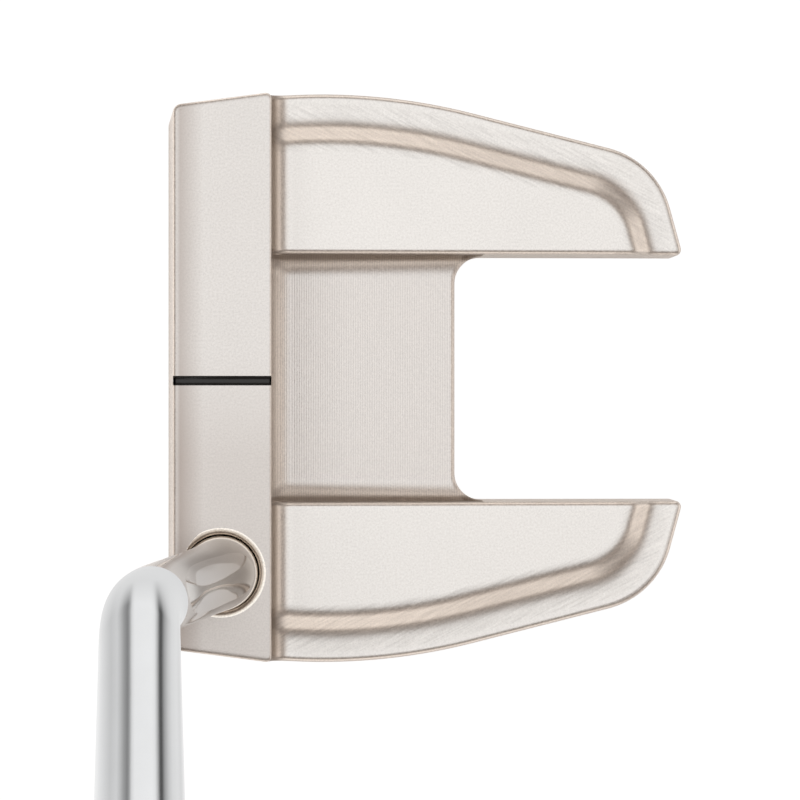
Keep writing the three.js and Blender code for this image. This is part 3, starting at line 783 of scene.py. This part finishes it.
def make_bond():
    """The epoxy sleeve, with a meniscus that climbs the shaft and the bore."""
    inner, outer = TIP_RADIUS + 0.02, BORE_R - 0.02
    low, high = BORE_FLOOR + 0.6, BAR_TOP - 2
    meniscus = [(lerp(outer, inner, t), high - 0.25 * math.sin(math.pi * t)) for t in steps(8)[:-1]]
    profile = [(inner, low), (outer, low), (outer, high), *meniscus, (inner, high)]
    return shade(turned("epoxy_bond", profile, (BORE_X, BORE_Y)), 50)


# ---- grip

GRIP_ORIGIN = BEND_TOP + SHAFT_DIRECTION * (UPPER_LENGTH - GRIP_LENGTH + GRIP_GAP)
GRIP_FLAT = (Vector((0, 1, 0)) - SHAFT_DIRECTION * SHAFT_DIRECTION.y).normalized()
GRIP_SIDE = GRIP_FLAT.cross(SHAFT_DIRECTION)
GRIP_BORE = BUTT_RADIUS + 2 * GRIP_GAP + TAPE_THICKNESS


def on_grip(x, y, z):
    """A point in the grip's own directions: across, towards the flat front, up the shaft."""
    return GRIP_ORIGIN + GRIP_SIDE * x + GRIP_FLAT * y + SHAFT_DIRECTION * z


def grip_loop(points, z):
    return [on_grip(x, y, z) for x, y in points]


def grip_section(t):
    """(half width, reach of the flat front, reach of the back) at a fraction of the grip's length."""
    palm = smoothstep(0.45, 1, t)
    half = lerp(10.4, 13.2, t ** 0.8)
    front = lerp(9.9, 10.6, t)
    back = lerp(10.4, 13.4, t) + 4.6 * palm - 1.8 * smoothstep(0.9, 1, t)
    return half, front, back


def grip_ring(t, shrink, sides):
    """(x, y) around the grip at a fraction of its length: round at the back, flat at the front."""
    half, front, back = grip_section(min(max(t, 0.0), 1.0))
    ring = []
    for c, s in circle(1, sides):
        squareness = 0.62 if s > 0 else 0.95
        reach = front if s > 0 else back
        x = math.copysign(abs(c) ** squareness, c) * (half - shrink)
        y = math.copysign(abs(s) ** squareness, s) * (reach - shrink)
        ring.append((x, y))
    return ring


def grip_relief(x, y, z):
    """Depth of the moulded pattern: fine slanted grooves round the back, plain bands at both ends."""
    if z < 14 or z > GRIP_LENGTH - 12:
        return 0.0
    along = math.atan2(x, -y) * 11.0
    if y > 0 and abs(x) < 7.5:
        pitch = 6.0
        chevron = (z + abs(x) * 0.9) % pitch
        return 0.28 * smoothstep(0.0, 0.35, 0.55 - abs(chevron - pitch / 2))
    first = (z * 0.8 + along) % 3.2
    second = (z * 0.8 - along) % 3.2
    groove = max(0.42 - abs(first - 1.6), 0.42 - abs(second - 1.6))
    return 0.26 * smoothstep(0.0, 0.3, groove)


def make_grip_body():
    outer = []
    for i in range(521):
        z = GRIP_LENGTH * i / 520
        lip = 0.9 * (1 - smoothstep(0, 2.2, z)) + 0.25 * smoothstep(GRIP_LENGTH - 1.2, GRIP_LENGTH, z)
        ring = []
        for x, y in grip_ring(z / GRIP_LENGTH, lip, GRIP_SIDES):
            depth = grip_relief(x, y, z)
            size = math.hypot(x, y)
            ring.append(on_grip(x * (1 - depth / size), y * (1 - depth / size), z))
        outer.append(ring)
    loops = outer + [grip_loop(circle(GRIP_BORE, GRIP_SIDES), z) for z in (GRIP_LENGTH, 0.0)]
    return shade(loft("grip_rubber_body", loops, ring=True), 60)


def make_grip_cap():
    bottom = GRIP_LENGTH + CAP_GAP
    top = bottom + CAP_THICKNESS
    outer = [(bottom, 0.15), (bottom + 0.3, 0.0), (bottom + 0.9, 0.0), (bottom + 1.1, 0.25)]
    outer += [(bottom + 1.4, 0.25), (bottom + 1.6, 0.05)]
    outer += [(top - CAP_ROUND * (1 - s), 0.05 + CAP_ROUND * (1 - c)) for c, s in quarter(steps(10))]
    inner = [(9.2, top), (9.0, top - 0.25), (7.4, top - 0.25), (7.2, top), (VENT_R + 0.5, top)]
    inner += [(VENT_R + 0.15, top - 0.15), (VENT_R, top - 0.5), (VENT_R, bottom)]
    loops = [grip_loop(grip_ring(1, shrink, CAP_SIDES), z) for z, shrink in outer]
    loops += [grip_loop(circle(radius, CAP_SIDES), z) for radius, z in inner]
    return shade(loft("grip_end_cap", loops, ring=True), 40)


# ---- materials

class Shader:
    """A small helper that builds one node material."""

    def __init__(self, name, **inputs):
        self.material = bpy.data.materials.new(name)
        self.material.use_nodes = True
        self.tree = self.material.node_tree
        self.tree.nodes.clear()
        self.output = self.tree.nodes.new("ShaderNodeOutputMaterial")
        self.surface = self.tree.nodes.new("ShaderNodeBsdfPrincipled")
        self.tree.links.new(self.surface.outputs["BSDF"], self.output.inputs["Surface"])
        for socket, value in inputs.items():
            self.surface.inputs[socket.replace("_", " ")].default_value = value
        self.coords = self.node("ShaderNodeTexCoord").outputs["Object"]

    def node(self, kind, inputs=(), **settings):
        """A new node; each input is linked to a socket or set to a value."""
        node = self.tree.nodes.new(kind)
        for key, value in settings.items():
            setattr(node, key, value)
        for socket, source in dict(inputs).items():
            self.link(source, node.inputs[socket])
        return node

    def link(self, source, target):
        if isinstance(target, str):
            target = self.surface.inputs[target]
        if isinstance(source, (int, float, tuple)):
            target.default_value = source
        else:
            self.tree.links.new(source, target)

    def math(self, operation, a, b=0.0):
        return self.node("ShaderNodeMath", {0: a, 1: b}, operation=operation).outputs[0]

    def distance(self, a, b):
        """Length of the flat vector (a, b)."""
        return self.math("SQRT", self.math("ADD", self.math("MULTIPLY", a, a), self.math("MULTIPLY", b, b)))

    def axes(self, vector=None):
        """X, Y and Z of a vector, or of the object coordinates."""
        node = self.node("ShaderNodeSeparateXYZ", {0: vector or self.coords})
        return [node.outputs[axis] for axis in "XYZ"]

    def scaled(self, x, y, z):
        """Object coordinates multiplied along each axis."""
        return self.node("ShaderNodeMapping", {"Vector": self.coords, "Scale": (x, y, z)}).outputs[0]

    def noise(self, vector, detail, roughness=0.6):
        settings = {"Vector": vector, "Scale": 1.0, "Detail": detail, "Roughness": roughness}
        return self.node("ShaderNodeTexNoise", settings).outputs["Fac"]

    def remap(self, value, low, high, to_low, to_high):
        settings = {"Value": value, "From Min": low, "From Max": high, "To Min": to_low, "To Max": to_high}
        return self.node("ShaderNodeMapRange", settings).outputs["Result"]

    def blend(self, factor, dark, light):
        return self.node("ShaderNodeMix", {0: factor, 6: dark, 7: light}, data_type="RGBA").outputs[2]

    def color(self):
        """What gives the base colour so far."""
        return self.surface.inputs["Base Color"].links[0].from_socket

    def multiply(self, color, factor):
        """Makes the base colour a colour times a factor."""
        inputs = {0: 1.0, 6: color, 7: factor}
        node = self.node("ShaderNodeMix", inputs, data_type="RGBA", blend_type="MULTIPLY")
        self.link(node.outputs[2], "Base Color")

    def choose(self, factor, first, second):
        """Sends the first shader to the surface where the factor is 0, and the second where it is 1."""
        node = self.node("ShaderNodeMixShader", {0: factor, 1: first, 2: second})
        self.link(node.outputs[0], self.output.inputs["Surface"])

    def bump(self, height, distance):
        node = self.node("ShaderNodeBump", {"Distance": distance, "Strength": 1.0, "Height": height})
        if self.surface.inputs["Normal"].is_linked:
            self.link(self.surface.inputs["Normal"].links[0].from_socket, node.inputs["Normal"])
        self.link(node.outputs["Normal"], "Normal")


# Steel colours: the level one, a warmer painted shade for sloped and rounded faces, and a dark painted
# shade for inner corners.
STEEL_FLAT = (0.760, 0.751, 0.732, 1)
STEEL_SLOPE_SHADE_TINT = (0.84, 0.785, 0.735, 1)
STEEL_CORNER_SHADE = (0.36, 0.30, 0.255, 1)
WEB_LINE_PITCH = 0.00037
FACE_ARC_PITCH = 0.0011
FACE_ARC_Y = 0.09  # the arcs' centres stand this far to the toe and to the heel
FACE_ARC_Z = 0.012
WEIGHT_RING_PITCH = 0.0002
STEP_SLANT = math.radians(62)


def satin_steel(name, roughness=0.34, grain=1.0, flat=STEEL_FLAT, slope=STEEL_SLOPE_SHADE_TINT):
    """Bead-blasted steel: a fine grain in the surface, in the gloss and in the colour.  Light and shade are
    painted into the colour: level faces take the light colour, sloped and rounded ones a warmer painted
    shade, and the inner corners a dark painted shade."""
    s = Shader(name, Metallic=1.0, Roughness=roughness)
    fine = s.noise(s.scaled(3000, 3000, 3000), detail=2, roughness=0.7)
    broad = s.noise(s.scaled(60, 60, 60), detail=3)
    # Painted shade: faces that tilt away from level take the warmer slope colour, and inner corners the
    # dark corner colour.
    upward = s.axes(s.node("ShaderNodeTexCoord").outputs["Normal"])[2]
    level = s.remap(upward, 0.90, 0.99, 0, 1)
    finish = s.blend(level, slope, flat)
    corner_shade = s.node("ShaderNodeAttribute", attribute_name="corner_shade").outputs["Fac"]
    finish = s.blend(corner_shade, finish, STEEL_CORNER_SHADE)
    tone = s.math("ADD", s.remap(fine, 0.3, 0.7, -0.115, 0.115), s.remap(broad, 0.3, 0.7, 0.965, 1.015))
    s.multiply(finish, tone)
    close = s.remap(fine, 0.3, 0.7, roughness - 0.05, roughness + 0.06)
    s.link(s.math("ADD", close, s.remap(broad, 0, 1, -0.03, 0.03)), "Roughness")
    s.bump(fine, 0.000009 * grain)
    return s


def shade_milling_lines(s, lines, depth):
    """Paints shade into the valleys of milling lines a little and a highlight onto their crests."""
    s.multiply(s.color(), s.remap(lines, -1, 1, 1 - depth, 1 + depth))


def waves(s, place, pitch):
    """Height of round scallops, one per pitch."""
    return s.math("SINE", s.math("MULTIPLY", place, 2 * math.pi / pitch))


def bar_steel():
    """The bar's finish is a touch darker than the decks', with painted shade along the face where its top
    falls away and a painted shadow of the shaft towards the heel.
    """
    s = satin_steel("steel_bar_satin", 0.36, flat=(0.712, 0.698, 0.680, 1))
    x, y, _ = s.axes()
    from_face = s.math("SUBTRACT", x, BAR_FRONT * MM)
    fade_in = s.remap(from_face, 0.0004, 0.0011, 0.0, 1.0)
    fade_out = s.remap(from_face, 0.0008, 0.0046, 0.66, 0.0)
    painted_face_shade = s.math("MULTIPLY", fade_in, fade_out)
    painted_shaft_shadow = s.remap(y, -0.012, 0.004, 0.28, 0.0)
    # Painted shade darkens the bar along the face, and a painted shadow of the shaft darkens it towards the
    # heel.
    s.link(s.blend(s.math("ADD", painted_face_shade, painted_shaft_shadow), s.color(), (0.42, 0.37, 0.34, 1)), "Base Color")
    return s.material


def web_steel():
    """Straight cutter lines across the web, a little uneven."""
    s = satin_steel("steel_web_milled", 0.45, flat=(0.785, 0.765, 0.745, 1))
    drift = s.noise(s.scaled(300, 40, 40), detail=2)
    lines = waves(s, s.math("ADD", s.axes()[0], s.math("MULTIPLY", drift, 0.00004)), WEB_LINE_PITCH)
    s.bump(lines, 0.000009)
    shade_milling_lines(s, lines, 0.075)
    return s.material


def step_steel():
    """Streaks that cross the step at a slant, mirrored from toe to heel."""
    # The slope colour is a painted shade for the step's sloped faces.
    s = satin_steel("steel_step_milled", 0.37, slope=(0.765, 0.71, 0.66, 1))
    x, y, _ = s.axes()
    toward = s.math("ABSOLUTE", y)
    cosine, sine = math.cos(STEP_SLANT), math.sin(STEP_SLANT)
    across = s.math("ADD", s.math("MULTIPLY", x, cosine), s.math("MULTIPLY", toward, sine))
    along = s.math("SUBTRACT", s.math("MULTIPLY", toward, cosine), s.math("MULTIPLY", x, sine))
    stretched = {"X": s.math("MULTIPLY", across, 2600), "Y": s.math("MULTIPLY", along, 160)}
    passes = s.node("ShaderNodeCombineXYZ", stretched).outputs[0]
    lines = s.remap(s.noise(passes, detail=1), 0.3, 0.7, -1, 1)
    s.bump(lines, 0.000004)
    shade_milling_lines(s, lines, 0.09)
    return s.material


def face_steel():
    """Crossed fly-cutter arcs on the striking face."""
    s = satin_steel("steel_face_milled", 0.34)
    _, y, z = s.axes()
    up = s.math("SUBTRACT", z, FACE_ARC_Z)
    radii = [s.distance(s.math("SUBTRACT", y, centre), up) for centre in (-FACE_ARC_Y, FACE_ARC_Y)]
    arcs = [waves(s, radius, FACE_ARC_PITCH) for radius in radii]
    s.bump(s.math("MAXIMUM", *arcs), 0.00005)
    return s.material


def sole_steel():
    s = satin_steel("steel_sole", 0.33)
    scuffs = s.noise(s.scaled(900, 14, 14), detail=5, roughness=0.75)
    s.bump(s.remap(scuffs, 0.58, 0.7, 0, 1), 0.000006)
    return s.material


def bore_steel():
    # The slope colour is a painted shade for the bore's rounded mouth.
    finish = {"flat": (0.88, 0.85, 0.79, 1), "slope": (0.88, 0.83, 0.76, 1)}
    return satin_steel("steel_bore_polished", 0.2, grain=0.3, **finish).material


def weight_steel():
    """Turned steel: fine rings about each weight's own centre."""
    # The slope colour is a painted shade for the weights' rounded edges.
    s = satin_steel("steel_weight_turned", 0.3, flat=(0.55, 0.53, 0.5, 1), slope=(0.5, 0.48, 0.46, 1))
    x, y, _ = s.axes()
    dx = s.math("SUBTRACT", x, WEIGHT_X * MM)
    dy = s.math("SUBTRACT", s.math("ABSOLUTE", y), WEIGHT_Y * MM)
    s.bump(waves(s, s.distance(dx, dy), WEIGHT_RING_PITCH), 0.000004)
    return s.material


def gloss_paint():
    s = Shader("gloss_black_paint", Base_Color=(0.003, 0.003, 0.003, 1), Roughness=0.16)
    flow = s.noise(s.scaled(700, 1400, 700), detail=2)
    s.link(s.remap(flow, 0, 1, 0.12, 0.26), "Roughness")
    s.bump(flow, 0.00002)
    return s.material


def chrome_plate():
    """Polished chrome with faint drawn lines along the tube and a few soft smudges."""
    s = Shader("shaft_chrome_plate", Base_Color=(0.80, 0.81, 0.82, 1), Metallic=1.0)
    drawn = s.noise(s.scaled(2600, 900, 14), detail=3)
    smudge = s.noise(s.scaled(45, 45, 18), detail=4)
    rough = s.math("ADD", s.remap(drawn, 0.3, 0.7, 0.035, 0.065), s.remap(smudge, 0.5, 0.75, 0.0, 0.05))
    s.link(rough, "Roughness")
    smudged = s.remap(smudge, 0.35, 0.7, 0, 1)
    s.link(s.blend(smudged, (0.83, 0.84, 0.85, 1), (0.77, 0.775, 0.78, 1)), "Base Color")
    s.bump(drawn, 0.000002)
    # The plating is painted darker and browner where the tube stands close over the head: a painted
    # reflection of the head, in its shade.
    head_reflection_shade = s.remap(s.axes()[2], BAR_TOP * MM + 0.006, BAR_TOP * MM + 0.020, 1, 0)
    s.link(s.blend(head_reflection_shade, s.color(), (0.57, 0.52, 0.475, 1)), "Base Color")
    return s.material


def cured_epoxy():
    s = Shader("cured_epoxy", Base_Color=(0.02, 0.018, 0.015, 1), Roughness=0.3)
    lumps = s.noise(s.scaled(900, 900, 900), detail=3)
    s.link(s.remap(lumps, 0, 1, 0.2, 0.5), "Roughness")
    s.bump(lumps, 0.00006)
    return s.material


def moulded_rubber(name, tone, roughness):
    """Matt black rubber with a leathery moulding grain and worn, slightly shinier high spots."""
    s = Shader(name, Roughness=roughness)
    s.surface.inputs["Specular IOR Level"].default_value = 0.4
    grain = s.noise(s.scaled(1600, 1600, 1600), detail=5, roughness=0.7)
    wear = s.noise(s.scaled(55, 55, 22), detail=4)
    dark = (tone * 0.75, tone * 0.77, tone * 0.8, 1)
    light = (tone * 1.5, tone * 1.5, tone * 1.52, 1)
    s.link(s.blend(s.remap(wear, 0.35, 0.7, 0, 1), dark, light), "Base Color")
    close = s.remap(grain, 0.3, 0.7, roughness - 0.08, roughness + 0.08)
    s.link(s.math("ADD", close, s.remap(wear, 0, 1, 0.04, -0.06)), "Roughness")
    s.bump(grain, 0.00005)
    return s.material


def crepe_tape():
    s = Shader("crepe_tape", Roughness=0.85)
    crepe = s.noise(s.scaled(400, 400, 2600), detail=4)
    # Painted light and shade: the crepe's crests are coloured lighter and its hollows darker.
    painted_crest_light = s.remap(crepe, 0.3, 0.7, 0, 1)
    s.link(s.blend(painted_crest_light, (0.45, 0.41, 0.29, 1), (0.66, 0.62, 0.48, 1)), "Base Color")
    s.bump(crepe, 0.00008)
    return s.material


# ---- assembly

def show(piece, node, material=None):
    """The piece stands for a CAD node and rides with the putter."""
    if material:
        piece.data.materials.clear()
        piece.data.materials.append(material)
    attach(piece, "root")
    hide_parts(node)
    return piece


def build_putter():
    head = make_head()
    mark_corner_shade(head)
    assign_head_materials(head, {
        "bar": bar_steel(),
        "face": face_steel(),
        "deck": satin_steel("steel_deck_satin").material,
        "step": step_steel(),
        "web": web_steel(),
        "sole": sole_steel(),
        "bore": bore_steel(),
    })
    show(head, "head_body")
    show(make_sight_paint(), "sight_line_paint", gloss_paint())
    turned_steel = weight_steel()
    seal = moulded_rubber("seal_rubber", 0.02, 0.55)
    for side, end in ((1, "toe"), (-1, "heel")):
        show(make_weight(side), f"{end}_sole_weight", turned_steel)
        show(make_seal(side), f"{end}_weight_seal", seal)
    show(make_shaft(), "shaft", chrome_plate())
    show(make_bond(), "shaft_bond", cured_epoxy())
    show(make_grip_body(), "grip_body", moulded_rubber("grip_rubber", 0.022, 0.72))
    show(make_grip_cap(), "grip_cap", moulded_rubber("cap_rubber", 0.018, 0.45))
    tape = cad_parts["grip_tape"]
    tape.data.materials.clear()
    tape.data.materials.append(crepe_tape())


# ---- stage, lights and camera

FLOOR_HALF = 3.0
CAMERA_PLACE = Vector((-0.022, -0.0034, 0.5))
CAMERA_TARGET = Vector((0.0054, -0.00341, 0.012))
VIEW_WIDTH = 0.124  # what the picture spans from side to side at the target
PALE = 0.93  # how bright the floor's glow and the background are to the camera


def flat_sheet(name, half, z):
    mesh = bpy.data.meshes.new(name)
    corners = [(-half, -half, z), (half, -half, z), (half, half, z), (-half, half, z)]
    mesh.from_pydata(corners, [], [(0, 1, 2, 3)])
    sheet = put(name, mesh)
    return sheet


def make_floor():
    """A pale floor: nearly white to the camera, and otherwise a grey glow with painted shade near the head
    and painted light in front of the face.
    """
    floor = flat_sheet("floor", FLOOR_HALF, -0.0002)
    s = Shader("pale_floor", Base_Color=(0.80, 0.79, 0.78, 1), Roughness=0.9)
    s.surface.inputs["Emission Color"].default_value = (1, 0.99, 0.97, 1)
    x, y, _ = s.axes()
    # Painted light and shade in the floor's glow, which only reflections see: dimmer near the head,
    # brighter in front of the face.
    painted_glow_before_face = s.remap(x, -0.030, -0.037, 0, 0.25)
    s.link(s.math("ADD", s.remap(s.distance(x, y), 0.06, 0.2, 0.14, 0.45), painted_glow_before_face), "Emission Strength")
    glow = s.node("ShaderNodeEmission", {"Strength": PALE})
    faint = s.node("ShaderNodeBsdfDiffuse", {"Color": (0.2, 0.2, 0.2, 1)})
    pale = s.node("ShaderNodeAddShader", {0: glow.outputs[0], 1: faint.outputs[0]})
    from_camera = s.node("ShaderNodeLightPath").outputs["Is Camera Ray"]
    s.choose(from_camera, s.surface.outputs[0], pale.outputs[0])
    floor.data.materials.append(s.material)


CARD_HALF = 0.6
CARD_HEIGHT = 0.052
# Brightness of the card at angles in degrees round the shaft, counted from the toe side to the rear.
CARD_TONES = (
    (-180, 0.95), (-130, 0.92), (-99, 0.78), (-76, 0.66), (-57, 0.74), (-48, 0.60), (-39, 0.40),
    (-30, 0.27), (-25, 0.40), (-19, 0.82), (-12, 0.97), (30, 1.0), (38, 0.92), (44, 0.60), (51, 0.12),
    (56, 0.10), (64, 0.40), (76, 0.68), (88, 0.82), (106, 0.86), (124, 0.78), (144, 0.90), (180, 0.95),
)


def make_reflector_card():
    """A studio card round the shaft that only polished metal above it sees: white, with two dark bands."""
    foot = BEND_TOP * MM + SHAFT_DIRECTION * ((CARD_HEIGHT - BEND_TOP.z * MM) / SHAFT_DIRECTION.z)
    card = flat_sheet("reflector_card", CARD_HALF, CARD_HEIGHT)
    card.visible_camera = card.visible_diffuse = card.visible_shadow = False
    s = Shader("card_tones")
    x, y, _ = s.axes()
    ahead = s.math("SUBTRACT", y, foot.y)
    aside = s.math("SUBTRACT", x, foot.x)
    # The angle round the slanting shaft differs from the angle on the level card.
    lean = s.math("MULTIPLY", ahead, SHAFT_DIRECTION.z)
    angle = s.math("MULTIPLY", s.math("ARCTAN2", aside, lean), 1 / math.tau)
    ramp = s.node("ShaderNodeValToRGB", {0: s.math("ADD", angle, 0.5)})
    stops = ramp.color_ramp.elements
    while len(stops) < len(CARD_TONES):
        stops.new(0.5)
    for stop, (degrees, tone) in zip(stops, CARD_TONES):
        stop.position = degrees / 360 + 0.5
        stop.color = (tone, tone, tone, 1)
    banded = s.remap(s.distance(ahead, aside), 0.005, 0.016, 0, 1)
    glow = s.node("ShaderNodeEmission", {0: s.blend(banded, (0.80, 0.80, 0.80, 1), ramp.outputs[0])})
    clear = s.node("ShaderNodeBsdfTransparent").outputs[0]
    s.choose(s.node("ShaderNodeNewGeometry").outputs["Backfacing"], glow.outputs[0], clear)
    card.data.materials.append(s.material)


OVERHEAD_PLACE = (0.15, 0.25)
STRIP_DISTANCE = 1.9
STRIP_HEIGHT = 0.38
STRIP_SIZE = (1.9, 0.72)


def area_light(name, place, target, size, brightness, color):
    """A softbox; its brightness is the radiance of its surface."""
    data = bpy.data.lights.new(name, "AREA")
    data.shape = "RECTANGLE"
    data.size, data.size_y = size
    data.energy = brightness * math.pi * size[0] * size[1]
    data.color = color
    light = put(name, data)
    light.visible_camera = False
    light.location = place
    light.rotation_euler = (Vector(target) - Vector(place)).to_track_quat("-Z", "Y").to_euler()


def make_lights():
    x, y = OVERHEAD_PLACE
    area_light("overhead_softbox", (x, y, 1.6), (x, y, 0), (2.45, 1.95), 0.93, (0.985, 0.995, 1.0))
    for name, x, y in (("rear", 1, 0), ("front", -1, 0), ("toe", 0, 1), ("heel", 0, -1)):
        place = (x * STRIP_DISTANCE, y * STRIP_DISTANCE, STRIP_HEIGHT)
        area_light(f"{name}_strip", place, (0, 0, 0.1), STRIP_SIZE, 1.1, (1.0, 0.955, 0.90))


def make_world():
    world = bpy.data.worlds.new("studio")
    bpy.context.scene.world = world
    world.use_nodes = True
    tree = world.node_tree
    background = tree.nodes["Background"]
    background.inputs["Color"].default_value = (0.29, 0.25, 0.225, 1)
    pale = tree.nodes.new("ShaderNodeBackground")
    pale.inputs["Color"].default_value = (PALE, PALE, PALE, 1)
    seen = tree.nodes.new("ShaderNodeLightPath")
    mix = tree.nodes.new("ShaderNodeMixShader")
    sources = (seen.outputs["Is Camera Ray"], background.outputs[0], pale.outputs[0])
    for socket, source in enumerate(sources):
        tree.links.new(source, mix.inputs[socket])
    tree.links.new(mix.outputs[0], tree.nodes["World Output"].inputs["Surface"])


def make_camera():
    data = bpy.data.cameras.new("camera")
    camera = put("camera", data)
    reach = CAMERA_PLACE - CAMERA_TARGET
    data.sensor_width = 36.0
    data.lens = data.sensor_width * reach.length / VIEW_WIDTH
    data.clip_start = 0.02
    back = reach.normalized()
    right = Vector((0, 1, 0)).cross(back).normalized()
    turn = Matrix((right, back.cross(right), back)).transposed()
    camera.location = CAMERA_PLACE
    camera.rotation_euler = turn.to_euler()
    bpy.context.scene.camera = camera


bpy.context.scene.view_settings.view_transform = "Standard"
make_camera()
make_world()
make_lights()
make_floor()
make_reflector_card()
build_putter()
